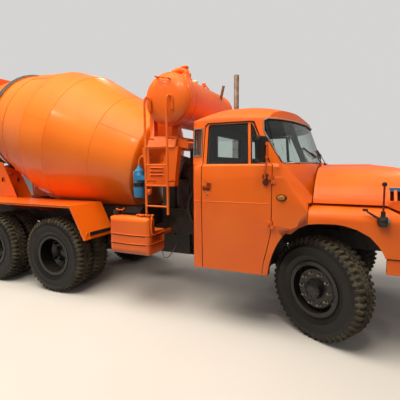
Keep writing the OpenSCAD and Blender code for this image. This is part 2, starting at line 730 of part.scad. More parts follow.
// Bonnet, hinged at the cowl
// One half of the bonnet's section, from its lower edge to the ridge
function bonnet_line(t) = let (h = bonnet_half) [
    [h - t, bonnet_z - 180], [h - t, bonnet_z - 10], [h - 14 - t, bonnet_z + 40], [h - 42 - t, bonnet_z + 95],
    [h - 88 - t, bonnet_z + 155 - t / 2], [h - 150 - t, bonnet_z + 213 - t / 2],
    [h - 222 - t, bonnet_z + 264 - t],
    [h - 306 - t, bonnet_z + 306 - t], [h - 400, ridge_z - 36 - t], [h - 500, ridge_z - 20 - t],
    [h - 700, ridge_z - 7 - t], [h - 900, ridge_z - 1 - t], [0, ridge_z - t]
];
module bonnet_section(t) polygon(concat(bonnet_line(t), mirrored(bonnet_line(t))));
module bonnet_side(t) polygon([
    [-cowl_x + 6 + (t > 0 ? -10 : 0), bonnet_z - (t > 0 ? 30 : 0)],
    [-cowl_x + 14 + (t > 0 ? -24 : 0), 1900], [300, 1900],
    [420, ridge_z - 6 - t], [640, ridge_z - 34 - t], [820, 1752 - t], [940, 1708 - t], [1020 - t, 1652 - t],
    [1062 - t, 1590],
    [nose_x - t, 1510], [nose_x - t, 1362 - (t > 0 ? 30 : 0)], [960, 1366 - (t > 0 ? 30 : 0)],
    [640, 1388 - (t > 0 ? 30 : 0)], [505, bonnet_z - (t > 0 ? 30 : 0)]
]);
module bonnet_plan(t) polygon(concat(
    [[-cowl_x - 20, bonnet_half + 10], [-cowl_x - 20, -bonnet_half - 10], [480, -bonnet_half - 10]],
    [[560, -bonnet_half + 14 + t]], arc([nose_x - 330, -bonnet_half + 360], 330 - t, 280, 352, 7),
    arc([nose_x - 330, bonnet_half - 360], 330 - t, 8, 80, 7),
        [[560, bonnet_half - 14 - t], [480, bonnet_half + 10]]
));
module bonnet_body(t) intersection() {
    lengthwise(-cowl_x - 40, nose_x + 20) bonnet_section(t);
    across(3000) bonnet_side(t);
    translate([0, 0, 1200]) linear_extrude(700) bonnet_plan(t);
}
grille_z0 = 1478;
grille_z1 = 1608;
grille_x = 514;
module bonnet() color(orange) truck() {
    difference() {
        bonnet_body(0);
        bonnet_body(bonnet_wall);
        block([grille_x, -half_w, grille_z0], [nose_x + 50, half_w, grille_z1]);
    }
    bonnet_knuckles();
}
module grille() color(black) truck() {
    difference() {
        intersection() {
            bonnet_body(0);
            block([grille_x, -half_w, grille_z0], [nose_x + 50, half_w, grille_z1]);
        }
        bonnet_body(bonnet_wall);
        for (i = [0 : 11]) both() block([0, 30 + i * 62, grille_z0 + 14],
            [nose_x + 60, 62 + i * 62, grille_z1 - 14]);
        for (i = [0 : 4]) block([grille_x + 24 + i * 58, -half_w, grille_z0 + 14],
            [grille_x + 56 + i * 58, half_w, grille_z1 - 14]);
    }
}

// Front wings with the panel between them
wing_top = bonnet_z - 9;
module wing_section(t) polygon(concat(
    [[half_w - t, 0], [half_w - t, 1290]], arc([half_w - 125, 1290], 125 - t, 0, 78, 7),
    [[bonnet_half - 16, wing_top - 14 - t], [bonnet_half - 60, wing_top - t],
    [-bonnet_half + 60, wing_top - t],
        [-bonnet_half + 16, wing_top - 14 - t]],
    arc([-half_w + 125, 1290], 125 - t, 102, 180, 7), [[-half_w + t, 1290], [-half_w + t, 0]]
));
module wing_side(t) polygon([
    [-174 + 4, 1249 - 60], [-174 + 4, wing_top + 10], [440, wing_top + 10], [500, wing_top - 8 - t],
    [640, 1364 - t],
    [800, 1352 - t], [980, 1340 - t], [1044 - t, 1312 - t], [1074 - t, 1262], [nose_x - t, 1170],
    [nose_x - t, wing_bottom - (t > 0 ? 40 : 0)], [0, wing_bottom - (t > 0 ? 40 : 0)]
]);
module wing_plan(t) polygon(concat(
    [[-200, half_w], [-200, -half_w], [620, -half_w + t]],
    arc([nose_x - 330, -half_w + 330], 330 - t, 275, 352, 7),
    arc([nose_x - 330, half_w - 330], 330 - t, 8, 85, 7), [[620, half_w - t]]
));
module wing_body(t) intersection() {
    lengthwise(-200, nose_x + 20) wing_section(t);
    across(3000) wing_side(t);
    linear_extrude(1600) wing_plan(t);
}
inner_wing_y = 500;
lamp_y = 880;
lamp_z = 1190;
lamp_r = 100;
module wings() color(orange) truck() {
    wing_skin();
    both() block([600, frame_w / 2 + seat, 1000], [680, inner_wing_y + 5, 1070]);
}
module wing_skin() difference() {
    wing_body(0);
    arch();
    // Wheel houses
    both() difference() {
        intersection() {
            wing_body(wing_wall);
            block([-300, inner_wing_y + 20, 0], [nose_x, 1500, 1600]);
        }
        block([511, 0, wing_bottom - 100], [511 + wing_wall, 1500, 1600]);
    }
    // Engine space between the wheel houses
    block([-300, -inner_wing_y, 0], [nose_x - wing_wall, inner_wing_y, 1600]);
    both() translate([nose_x - 60, lamp_y, lamp_z]) rotate([0, 90, 0]) cylinder(r = lamp_r + seat, h = 200);
    for (i = [0 : 7]) block([nose_x - 50, -360 + i * 96, 1050], [nose_x + 50, -310 + i * 96, 1300]);
}
module headlamps() color(glass) truck() both() {
    translate([nose_x - 60 + seat, lamp_y, lamp_z]) rotate([0, 90, 0]) {
        cylinder(r = lamp_r, h = 46);
        translate([0, 0, 46]) cylinder(r1 = lamp_r, r2 = lamp_r - 40, h = 22);
    }
}
// Side lamps on the wings, each with its arm and its width marker
side_lamp = [474, half_w + 26, 1318];
module side_lamps() color(black) truck() both() {
    difference() {
        translate(side_lamp) rotate([0, 90, 0]) rotate_extrude() polygon([
            [0, -46], [26, -42], [42, -26], [48, 0], [48, 26], [42, 38], [24, 44], [0, 46]
        ]);
        block([0, half_w - 100, 1200], [1000, half_w + seat, 1500]);
    }
    block([side_lamp[0] - 16, half_w + seat, side_lamp[2] - 20],
        [side_lamp[0] + 16, side_lamp[1], side_lamp[2] + 20]);
    block([side_lamp[0] - 18, half_w + seat, side_lamp[2] + 40],
        [side_lamp[0] + 18, half_w + 36, side_lamp[2] + 92]);
    wire([[side_lamp[0], half_w + 20, side_lamp[2] + 80], [side_lamp[0], half_w + 20, 1640]], 5);
    translate([side_lamp[0], half_w + 20, 1652]) sphere(r = 22);
    wire([[side_lamp[0] - 30, half_w + 22, side_lamp[2] + 30], [330, half_w + 12, 1414]], 6);
    translate([330, half_w + 12, 1416]) rotate([0, 90, 0]) cylinder(r = 12, h = 44, center = true);
}
// Rear lamps on a bar behind each frame rail
module rear_lamps() color(black) truck() both() {
    block([frame_end - 40, frame_w / 2 - rail_w, rail_bottom + 30],
        [frame_end - seat, 1080, rail_bottom + 90]);
    block([frame_end - 96, 800, rail_bottom - 20], [frame_end - 30, 1080, rail_bottom + 130]);
}
bumper_back = 528;
bumper_t = 60;
module bumper_plan(t) polygon(concat(
    [[bumper_back, -half_w + 12 + t]],
    arc([front_overhang - 250, -half_w + 252], 240 - t, 270, 352, 6),
    [[front_overhang - t, -400], [front_overhang - t, 400]],
    arc([front_overhang - 250, half_w - 252], 240 - t, 8, 90, 6),
    [[bumper_back, half_w - 12 - t]]
));
module front_bumper() color(orange) truck() {
    translate([0, 0, bumper_z]) difference() {
        linear_extrude(bumper_h) bumper_plan(0);
        translate([0, 0, -1]) linear_extrude(bumper_h + 2) bumper_plan(bumper_t);
        block([0, -half_w + 12 + bumper_t, -1], [bumper_back + 10, half_w - 12 - bumper_t, bumper_h + 1]);
    }
    // Brackets to the frame, with the front towing eye
    both() block([frame_front + seat, frame_w / 2 - rail_w, bumper_z + 60],
        [front_overhang - bumper_t + 4, frame_w / 2 + 16, bumper_z + bumper_h - 10]);
    both() block([frame_front - 60, frame_w / 2 + seat, bumper_z + 60],
        [frame_front + 20, frame_w / 2 + 16, frame_top - 20]);
}

stack_top = 3236;
module exhaust_stack() color(steel) truck() {
    x = -1505;
    y = 600;
    translate([x, y, 980]) cylinder(r = 40, h = stack_top - 980);
    translate([x, y, 1300]) cylinder(r = 62, h = 900);
    block([x - 30, frame_w / 2 + seat, 1000], [x + 30, y, 1060]);
}
module air_cleaner() color(dark) truck() {
    translate([-1600, -620, frame_top + 60]) cylinder(r = 130, h = 700);
    translate([-1600, -620, frame_top + 760]) cylinder(r = 60, h = 180);
    block([-1700, -640, frame_top - 60], [-1500, -frame_w / 2 - seat, frame_top + 60]);
}

// Fuel tank with its step on the inner side
tank_x0 = -2620;
tank_x1 = -2015;
tank_out = 1205;
tank_in = 840;
tank_z0 = 705;
tank_z1 = 1196;
tank_step_z = 1010;
filler_h = 60;
collar_h = 10;
module tank_section() polygon(concat(
    arc([tank_out - 80, tank_z0 + 80], 80, -90, 0, 6), arc([tank_out - 70, tank_z1 - 70], 70, 0, 90, 6),
    [[tank_in + 230, tank_z1], [tank_in + 230, tank_step_z], [tank_in, tank_step_z], [tank_in, tank_z0]]
));
module fuel_tank() color(orange) truck() mirror([0, 1, 0]) {
    intersection() {
        lengthwise(tank_x0, tank_x1) tank_section();
        linear_extrude(2000) rounded(tank_x0, 0, tank_x1, tank_out, 60);
        across(3000) rounded(tank_x0, tank_z0, tank_x1, tank_z1, 60);
    }
    // Filler neck on its collar, and brackets to the frame
    translate([tank_x0 + 60, tank_out - 103, tank_z1 - 60]) {
        cylinder(r = 38, h = 60 + collar_h);
        cylinder(r = 30, h = 60 + filler_h);
    }
    for (x = [tank_x0 + 100, tank_x1 - 160]) {
        block([x, frame_w / 2 + seat, rail_bottom + 10], [x + 50, tank_in + 5, rail_bottom + 70]);
    }
}
module battery_box() color(black) truck() {
    // Dark box with a sloping lid between the fuel tank and the frame
    mirror([0, 1, 0]) lengthwise(-2510, -2270) polygon([
        [frame_w / 2 + seat, tank_step_z + seat], [frame_w / 2 + seat, 1282], [tank_in + 100, 1282],
        [tank_in + 180, tank_z1 + 20], [tank_in + 180, tank_step_z + seat]
    ]);
}

// Mudguard decks over the rear wheels, with sloping ends
guard_y0 = 622;
guard_y1 = 1245;
guard_z = 1294;
guard_x0 = middle_x + 452;
guard_x1 = rear_x - 452;
guard_drop = 459;
guard_run = 233;
guard_t = 34;
module rear_mudguards() color(orange) truck() both() {
    intersection() {
        across(3000) polygon([
            [guard_x1 - guard_run, guard_z - guard_drop], [guard_x1 - guard_run + 12, guard_z - guard_drop],
            [guard_x1 + 10, guard_z - guard_t], [guard_x0 - 10, guard_z - guard_t],
            [guard_x0 + guard_run - 14, guard_z - guard_drop], [guard_x0 + guard_run, guard_z - guard_drop],
            [guard_x0, guard_z], [guard_x1, guard_z]
        ]);
        block([-7000, guard_y0, 0], [0, guard_y1, 2000]);
    }
    // Brackets to the mixer's frame
    for (x = [guard_x0 - 160, (guard_x0 + guard_x1) / 2 - 40, rear_x + 100])
        lengthwise(x, x + 80) polygon([
            [frame_w / 2 + seat, frame_top + 12], [frame_w / 2 + seat, frame_top + 100],
            [guard_y0 - 20, frame_top + 110],
            [guard_y0 + 30, guard_z - guard_t + 1], [1000, guard_z - guard_t + 1],
            [1000, guard_z - guard_t - 40],
            [guard_y0 + 60, frame_top + 30]
        ]);
}

// Mixer frame on the chassis, with the pedestals of the drum
sub_rail_w = 45;
sub_x0 = -6080;
sub_x1 = -1760;
function drum_point(s) = [-drum_x - s * cos(drum_tilt), 0, drum_z + s * sin(drum_tilt)];
module on_drum() translate([-drum_x, 0, drum_z]) rotate([0, -(90 - drum_tilt), 0]) children();
roller_way = track_r + roller_r + seat;
roller_in = 46;
roller_pin_r = 26;
function roller_point(side) = [
    -drum_x - track_s * cos(drum_tilt) - roller_way * cos(roller_angle) * sin(drum_tilt),
    side * roller_way * sin(roller_angle),
    drum_z + track_s * sin(drum_tilt) - roller_way * cos(roller_angle) * cos(drum_tilt)
];
plate_t = 16;
bearing_s = roller_in + 34;
module mixer_frame() color(orange) truck() {
    both() lengthwise(sub_x0, sub_x1) polygon([
        [frame_w / 2 - sub_rail_w, frame_top], [frame_w / 2, frame_top],
        [frame_w / 2, subframe_top], [frame_w / 2 - sub_rail_w, subframe_top]
    ]);
    for (x = [sub_x1 - 100, -2084, -2424, -5600, sub_x0])
        block([x, -frame_w / 2 + sub_rail_w + seat, frame_top + 10],
            [x + 100, frame_w / 2 - sub_rail_w - seat, subframe_top - seat]);
    for (side = [-1, 1]) roller_stand(side);
    // Posts of the hopper and the discharge funnel, with their stays
    both() {
        block([post_x - 40, post_y, 1700], [post_x + 40, post_y + 60, 3330]);
        bar([frame_end + 150, frame_w / 2 - 25, subframe_top - 30], [post_x, post_y + 30, 1850], 18);
    }
}
post_y = 640;
stand_in = frame_w / 2 - 140;
stand_out = 600;
// Roller stand: two side plates, a foot and two bearing plates square to the drum's axis
module roller_stand(side) {
    p = roller_point(1);
    mirror([0, side > 0 ? 0 : 1, 0]) difference() {
        union() {
            block([p[0] - 310, stand_in, subframe_top],
                [p[0] + 390, stand_out + plate_t, subframe_top + plate_t]);
            translate([0, stand_out + plate_t, 0]) rotate([90, 0, 0]) linear_extrude(plate_t) polygon([
                [p[0] - 310, subframe_top], [p[0] + 390, subframe_top], [p[0] + 390, subframe_top + 74],
                [p[0] + 60, p[2] + 190], [p[0] - 60, p[2] + 190], [p[0] - 270, subframe_top + 280]
            ]);
            translate([0, stand_in + plate_t, 0]) rotate([90, 0, 0]) linear_extrude(plate_t) polygon([
                [p[0] - 310, subframe_top], [p[0] + 390, subframe_top], [p[0] + 390, subframe_top + 74],
                [p[0] + 120, p[2] + 10], [p[0] - 120, p[2] + 10], [p[0] - 270, subframe_top + 280]
            ]);
            intersection() {
                on_drum() for (s = [-1, 1]) translate([0, 0, track_s + s * bearing_s])
                    cube([4000, 4000, plate_t], center = true);
                lengthwise(-7000, -4000) polygon([
                    [stand_in, subframe_top], [stand_out + 2, subframe_top],
                    [stand_out + 2, p[2] + 110], [stand_in, p[2] + 30]
                ]);
            }
        }
        translate(p) rotate([0, -(90 - drum_tilt), 0])
            cylinder(r = roller_pin_r + seat, h = 300, center = true);
        translate([p[0] + 59, stand_out - 3, p[2] - 128]) rotate([-90, 0, 0])
            cylinder(r = 46, h = plate_t + 6);
    }
}
module roller(side) color(steel) truck() {
    p = roller_point(side);
    translate(p) rotate([0, -(90 - drum_tilt), 0]) {
        cylinder(r = roller_r, h = 2 * roller_in, center = true);
        cylinder(r = 60, h = 2 * roller_in + 40, center = true);
        cylinder(r = roller_pin_r, h = 2 * bearing_s + plate_t + 20, center = true);
    }
}
flange_s = -drum_front_s - 190;
module drum_drive() color(steel) truck() {
    // Gearbox of the drum on its pedestal
    on_drum() {
        translate([0, 0, flange_s - 330]) cylinder(r = 230, h = 330 - seat);
        translate([0, 0, flange_s - 420]) cylinder(r = 130, h = 92);
    }
    p = drum_point(flange_s - 200);
    block([p[0] - 160, -260, subframe_top], [p[0] + 160, 260, p[2] - 120]);
    block([p[0] - 220, -330, subframe_top], [p[0] + 220, 330, subframe_top + 40]);
}
filter_x = -2376;
filter_y = -850;
filter_r = 80;
module filter_pair() color("#2f8fc4") truck() {
    translate([filter_x, filter_y, 1410]) cylinder(r = filter_r, h = 140);
    translate([filter_x, filter_y, 1549]) cylinder(r = filter_r - 14, h = 52);
    translate([filter_x, filter_y, 1600]) cylinder(r = filter_r, h = 158);
    // Bracket to the side panel of the tank stand
    block([filter_x, -930, 1640], [-2182 - seat, -905, 1700]);
}

// The drum: front cone with its end, widest ring, rear cone with the mouth
head_s = -drum_front_s - 150;
flange_r = 240;
module drum_front() color(orange) truck() on_drum() {
    w = drum_wall;
    rotate_extrude() polygon([
        [0, flange_s], [flange_r, flange_s], [flange_r, head_s], [drum_front_r - 60, -drum_front_s - 40],
        [drum_front_r, -drum_front_s], [drum_r, drum_ring_s0], [drum_r - w, drum_ring_s0],
        [drum_front_r - w, -drum_front_s + 6], [drum_front_r - 64, -drum_front_s - 40 + w],
        [flange_r, head_s + w + 4], [0, head_s + w + 4]
    ]);
}
module drum_middle() color(orange) truck() on_drum() rotate_extrude() polygon([
    [drum_r, drum_ring_s0], [drum_r, drum_ring_s1], [drum_r - drum_wall, drum_ring_s1],
    [drum_r - drum_wall, drum_ring_s0]
]);
track_t = 22;
track_half = 40;
rear_shell_r = track_r - track_t;
module drum_rear() color(orange) truck() on_drum() {
    w = drum_wall;
    rotate_extrude() polygon([
        [drum_r, drum_ring_s1], [rear_shell_r, track_s - track_half], [rear_shell_r, track_s + track_half],
        [mouth_r, mouth_s], [mouth_r - w, mouth_s], [rear_shell_r - w, track_s + track_half],
        [rear_shell_r - w, track_s - track_half], [drum_r - w, drum_ring_s1]
    ]);
}
module roller_track() color(steel) truck() on_drum() rotate_extrude() polygon([
    [rear_shell_r + 0.1, track_s - track_half], [track_r, track_s - track_half],
    [track_r, track_s + track_half], [rear_shell_r + 0.1, track_s + track_half]
]);

// Water tank across the truck, on its stand behind the cab
water_end = [[0, 0], [110, 5], [190, 17], [245, 36], [282, 62], [water_r, 104]];
ladder_x0 = -2048;
ladder_x1 = -1750;
ladder_r = 14;
ladder_head = 2400;
module water_tank() color(orange) truck() {
    translate([-water_x, 0, water_z]) rotate([90, 0, 0]) translate([0, 0, -water_left])
        rotate_extrude() polygon(concat(water_end, [for (i = [len(water_end) - 1 : -1 : 0])
            [water_end[i][0], water_right + water_left - water_end[i][1]]]));
    // Hooks at the ladder's head and a handle loop, welded to the right end
    for (x = [ladder_x0, ladder_x1]) wire([
        [x, -ladder_y, ladder_head], [x, -ladder_y, 2560], [x + 10, -ladder_y + 3, 2606],
        [x + 26, -ladder_y + 12, 2628],
        [x + 46, -ladder_y + 26, 2618], [x + 56, -ladder_y + 36, 2580], [x + 52, -ladder_y + 44, 2480],
        [x + 48, -water_right + 70, 2440]
    ], ladder_r);
    wire([
        [-water_x - 100, -water_right + 60, water_z + 238], [-water_x - 96, -water_right - 24, water_z + 240],
        [-water_x + 70, -water_right - 24, water_z + 206], [-water_x + 72, -water_right + 40, water_z + 204]
    ], 9);
    // Filler neck on its collar
    translate([-water_x + 20, -600, water_z + water_r - 30]) cylinder(r = 75, h = 45);
    translate([-water_x + 20, -600, water_z + water_r + 14]) cylinder(r = 60, h = 71);
}
stand_x0 = -2145;
stand_x1 = -1750;
stand_top = 2180;
module tank_stand() color(orange) truck() {
    // Saddles under the water tank
    for (y = [-925, 340]) difference() {
        block([stand_x0, y, stand_top - 130], [stand_x1, y + 90, water_z - 52]);
        translate([-water_x, 0, water_z]) rotate([90, 0, 0])
            cylinder(r = water_r + seat, h = 3000, center = true);
        block([stand_x0 + 60, y - 1, stand_top + 12], [-1830, y + 91, water_z]);
        block([-water_x, y - 1, water_z - 270], [stand_x1 + 1, y + 91, water_z]);
    }
    // Top beams and posts down to the mixer's frame
    for (x = [stand_x0, stand_x1 - 70]) block([x, -935, stand_top - 130], [x + 70, 430, stand_top]);
    for (x = [stand_x0, stand_x1 - 70]) for (y = [-440, 340])
        block([x, y, subframe_top], [x + 70, y + 90, stand_top]);
    // Side panel of the stand: a plate with folded edges, a window with its gusset, and three louvres
    translate([0, -900, 0]) rotate([90, 0, 0]) difference() {
        linear_extrude(100) polygon(panel_points(0));
        translate([0, 0, -1]) linear_extrude(101 - panel_t) polygon(panel_points(panel_t));
        translate([0, 0, 100 - panel_t - 1]) linear_extrude(panel_t + 2) polygon([
            [-2116, 2030], [-1846, 2030], [-1846, 1950], [-1955, 1850], [-2116, 1850]
        ]);
        for (z = louvre_heights) translate([0, 0, 60]) linear_extrude(60) polygon([
            [-2104, z], [-1922, z], [-1922, z + 10], [-2104, z + 10]
        ]);
    }
    for (z = louvre_heights) translate([-2013, -1000, z + 10]) rotate([0, 90, 0])
        linear_extrude(190, center = true) polygon([[0, -14], [0, 6], [-12, 6], [-12, -2]]);
    // Folded cover above the panel
    lengthwise(stand_x0 + 4, stand_x1 + 4) polygon([
        [-1014, stand_top - 130], [-1000, stand_top - 136], [-936, stand_top - 8], [-900, stand_top - 8],
        [-900, stand_top + 4], [-944, stand_top + 4]
    ]);
}
panel_t = 12;
louvre_heights = [1700, 1745, 1790];
function panel_points(t) = [
    [-2168 + t, 1574 + t], [-1764 - t, 1574 + t], [-1706 - t, 2060 - t], [-2222 + t, 2060 - t]
];
ladder_y = 1188;
module ladder() color(orange) truck() {
    for (x = [ladder_x0, ladder_x1]) {
        bar([x, -ladder_y, 1250], [x, -ladder_y, ladder_head - seat], ladder_r);
        for (z = [1640, 2150]) bar([x, -ladder_y, z], [x, -1000 - seat, z], 10);
    }
    for (z = [1344, 1591, 1835, 2046]) bar([ladder_x0, -ladder_y, z], [ladder_x1, -ladder_y, z], 11);
}

// Loading hopper over the mouth, on posts from the mixer's frame
hopper_x = funnel_x;
hopper_top = 3500;
module hopper_solid(t, up) hull() {
    translate([hopper_x - 330 + t, -430 + t, hopper_top + up]) cube([660 - 2 * t, 860 - 2 * t, 1]);
    translate([hopper_x + 10 + t, -210 + t, hopper_top - 480 - up]) cube([300 - 2 * t, 420 - 2 * t, 1]);
}
post_x = funnel_x + 30;
module hopper() color(orange) truck() {
    difference() {
        hopper_solid(0, 0);
        hopper_solid(8, 2);
    }
    both() block([post_x - 40, 332, 3250], [post_x + 40, post_y - seat, 3310]);
}
funnel_z0 = 1980;
module discharge_solid(t, up) hull() {
    translate([funnel_x - 300 + t, -600 + t, 2620 + up]) cube([400 - 2 * t, 1200 - 2 * t, 1]);
    translate([funnel_x - 150 + t, -150 + t, funnel_z0 - up]) cube([300 - 2 * t, 300 - 2 * t, 1]);
}
module discharge_funnel() color(orange) truck() {
    difference() {
        discharge_solid(0, 0);
        discharge_solid(8, 2);
        on_drum() rotate_extrude() polygon([
            [0, mouth_s - 500], [mouth_r + 206, mouth_s - 500], [mouth_r + 14, mouth_s + 12],
            [0, mouth_s + 12]
        ]);
    }
    both() block([post_x - 30, 540, 2500], [post_x + 30, post_y - seat, 2560]);
    // Outlet with the collar that carries the chute's ring
    translate([funnel_x, 0, pivot_z - 10 - seat]) difference() {
        union() {
            cylinder(r = swivel_r - 42, h = funnel_z0 - pivot_z + 18);
            cylinder(r = swivel_r - 34, h = 10);
            translate([-150, -150, funnel_z0 - pivot_z + 10 + seat]) cube([300, 300, 8]);
        }
        translate([0, 0, -1]) cylinder(r = swivel_r - 50, h = 200);
    }
}
pivot_z = 1900;
swivel_r = 210;
ear_y = 180;
ear_t = 22;
tilt_drop = 150;
tilt_pin_r = 12;
tilt_z = pivot_z - tilt_drop;
module chute_swivel() color(dark) truck() {
    translate([funnel_x, 0, pivot_z]) difference() {
        union() {
            difference() {
                cylinder(r = swivel_r, h = 60);
                translate([0, 0, -1]) cylinder(r = swivel_r - 42 + seat, h = 62);
            }
            both() block([-40, ear_y, -tilt_drop - 34], [40, ear_y + ear_t, 30]);
        }
        translate([0, 0, -tilt_drop]) rotate([90, 0, 0])
            cylinder(r = tilt_pin_r + seat, h = 3 * ear_y, center = true);
    }
}
trough_t = 8;
module chute() color(orange) truck() translate([funnel_x, 0, tilt_z]) rotate([0, -chute_slope, 0]) {
    translate([chute_head - chute_len, 0, 0]) rotate([90, 0, 90]) linear_extrude(chute_len) difference() {
        circle(r = chute_r - 20);
        circle(r = chute_r - 20 - trough_t);
        translate([-300, chute_lip]) square([600, 400]);
    }
    both() translate([0, chute_r - 26, 0]) rotate([-90, 0, 0])
        cylinder(r = tilt_pin_r, h = ear_y + ear_t + 4 - chute_r + 26);
}

backbone_tube();
chassis_frame();
engine_block();
half_axles();
rear_springs();
knuckle(1);  // knuckle_left
knuckle(-1);  // knuckle_right
front_tyre(1);  // front_tyre_left
front_tyre(-1);  // front_tyre_right
pair_tyres(middle_x, 1);  // middle_tyres_left
pair_tyres(middle_x, -1);  // middle_tyres_right
pair_tyres(rear_x, 1);  // rear_tyres_left
pair_tyres(rear_x, -1);  // rear_tyres_right
front_rim(1);  // front_wheel_left
front_rim(-1);  // front_wheel_right
pair_rims(middle_x, 1);  // middle_wheels_left
pair_rims(middle_x, -1);  // middle_wheels_right
pair_rims(rear_x, 1);  // rear_wheels_left
pair_rims(rear_x, -1);  // rear_wheels_right
cab_shell();
cab_glazing();
cab_interior();
door(1);  // door_left
door(-1);  // door_right
door_glass(1);  // door_glass_left
door_glass(-1);  // door_glass_right
mirror_head(1);  // mirror_left
mirror_head(-1);  // mirror_right
bonnet();
grille();
wings();
headlamps();
front_bumper();
side_lamps();
rear_lamps();
exhaust_stack();
air_cleaner();
fuel_tank();
battery_box();
rear_mudguards();
mixer_frame();
drum_drive();
filter_pair();
drum_front();
drum_middle();
drum_rear();
roller_track();
roller(1);  // roller_left
roller(-1);  // roller_right
water_tank();
tank_stand();
ladder();
hopper();
discharge_funnel();
chute_swivel();
chute();
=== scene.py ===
import math

import bmesh
import bpy
from mathutils import Matrix, Vector
from mathutils.bvhtree import BVHTree


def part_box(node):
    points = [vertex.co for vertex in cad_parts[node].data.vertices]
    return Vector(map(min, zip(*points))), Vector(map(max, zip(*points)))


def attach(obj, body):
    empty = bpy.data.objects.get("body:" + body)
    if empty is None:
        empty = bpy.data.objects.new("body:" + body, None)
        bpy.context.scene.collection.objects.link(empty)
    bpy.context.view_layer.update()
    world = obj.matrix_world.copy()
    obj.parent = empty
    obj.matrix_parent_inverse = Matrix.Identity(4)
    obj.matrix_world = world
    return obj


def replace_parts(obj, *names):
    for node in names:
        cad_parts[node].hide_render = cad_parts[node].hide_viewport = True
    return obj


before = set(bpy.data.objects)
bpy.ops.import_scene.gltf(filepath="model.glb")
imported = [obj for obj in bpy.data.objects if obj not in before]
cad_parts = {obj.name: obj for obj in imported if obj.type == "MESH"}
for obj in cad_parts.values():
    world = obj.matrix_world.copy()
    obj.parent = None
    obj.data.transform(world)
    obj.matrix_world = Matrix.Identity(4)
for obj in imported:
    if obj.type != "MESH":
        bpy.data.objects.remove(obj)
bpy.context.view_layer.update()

# Chassis: a tube with swinging half axles under a ladder frame of channel rails, on leaf springs.
# Steel under satin black chassis paint, which has gone dull and grey-brown with road dust.
# The rails carry two rows of cold-driven rivets, and brake hoses run down to the front wheels.
wheelbase, bogie_spread, hub_height = 3690, 1320, 542
axle_x = 500 * (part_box("middle_tyres_left")[0].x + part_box("middle_tyres_left")[1].x) + wheelbase
rail_face, rail_low, rail_high = 450, 905, 1045
sides = ((-1, "right"), (1, "left"))


# A place in the frame from millimetres: ahead of the front axle, to the left and up from the ground
def at(x, y, z):
    return Vector(((x + axle_x) / 1000, y / 1000, z / 1000))


def set_at(x, y, z):
    return Matrix.Translation(at(x, y, z))


def spin(degrees, axis):
    return Matrix.Rotation(math.radians(degrees), 4, axis)


# Turns what points up until it points out of one of the truck's sides
def outwards(side):
    return spin(-90 * side, "X")


# Places for screws on a circle round an axis
def circle_of(count, radius, place, first=0):
    return [place @ spin(first + 360 / count * i, "Z") @ Matrix.Translation((radius, 0, 0)) for i in range(count)]


def hex_colour(code):
    values = [int(code[i:i + 2], 16) / 255 for i in (1, 3, 5)]
    return [v / 12.92 if v <= 0.04045 else ((v + 0.055) / 1.055) ** 2.4 for v in values] + [1.0]


# Adds one shader node. An input given as a socket is linked, any other value is set
def add(tree, kind, settings=None, inputs=None):
    made = tree.nodes.new("ShaderNode" + kind)
    for key, value in (settings or {}).items():
        setattr(made, key, value)
    for key, value in (inputs or {}).items():
        if isinstance(value, bpy.types.NodeSocket):
            tree.links.new(value, made.inputs[key])
        else:
            made.inputs[key].default_value = value
    return made


def new_finish(name, **shader_values):
    made = bpy.data.materials.new(name)
    made.use_nodes = True
    shader = made.node_tree.nodes["Principled BSDF"]
    for key, value in shader_values.items():
        shader.inputs[key.replace("_", " ")].default_value = value
    return made, made.node_tree, shader


# Paint, casting or rubber with dust in patches and on what faces up. grain is the size of its texture in mm
def dusty_finish(name, colour, dust, share, rough, grain, relief, lying=0.4, edge=0.003):
    made, tree, shader = new_finish(name)
    place = add(tree, "TexCoord").outputs["Object"]
    cloud = add(tree, "TexNoise", None, {"Vector": place, "Scale": 7.0, "Detail": 6.0, "Roughness": 0.6})
    patches = add(tree, "MapRange", None, {"Value": cloud.outputs["Fac"], "From Min": 0.38, "From Max": 0.75,
                                           "To Max": share})
    height = add(tree, "SeparateXYZ", None, {0: add(tree, "NewGeometry").outputs["Normal"]}).outputs["Z"]
    top = add(tree, "MapRange", None, {"Value": height, "From Min": 0.35, "From Max": 0.95, "To Max": lying})
    film = add(tree, "Math", {"operation": "MAXIMUM"}, {0: patches.outputs[0], 1: top.outputs[0]}).outputs[0]
    tone = add(tree, "Mix", {"data_type": "RGBA"}, {0: film, 6: hex_colour(colour), 7: hex_colour(dust)})
    tree.links.new(tone.outputs[2], shader.inputs["Base Color"])
    dull = add(tree, "MapRange", None, {"Value": film, "To Min": rough, "To Max": 0.92})
    tree.links.new(dull.outputs[0], shader.inputs["Roughness"])
    soft = add(tree, "Bevel", {"samples": 4}, {"Radius": edge}).outputs["Normal"]
    speck = add(tree, "TexNoise", None, {"Vector": place, "Scale": 1000 / grain, "Detail": 3.0})
    rise = add(tree, "Bump", None, {"Height": speck.outputs["Fac"], "Strength": relief, "Distance": 0.001,
                                    "Normal": soft})
    tree.links.new(rise.outputs["Normal"], shader.inputs["Normal"])
    return made


# The CAD pieces keep their shape and take a finish, smooth where they curve
def dress(finish, *names):
    for name in names:
        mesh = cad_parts[name].data
        mesh.materials.clear()
        mesh.materials.append(finish)
        mesh.shade_smooth()
        mesh.set_sharp_from_angle(angle=math.radians(28))


def link_object(name, data):
    made = bpy.data.objects.new(name, data)
    bpy.context.scene.collection.objects.link(made)
    return made


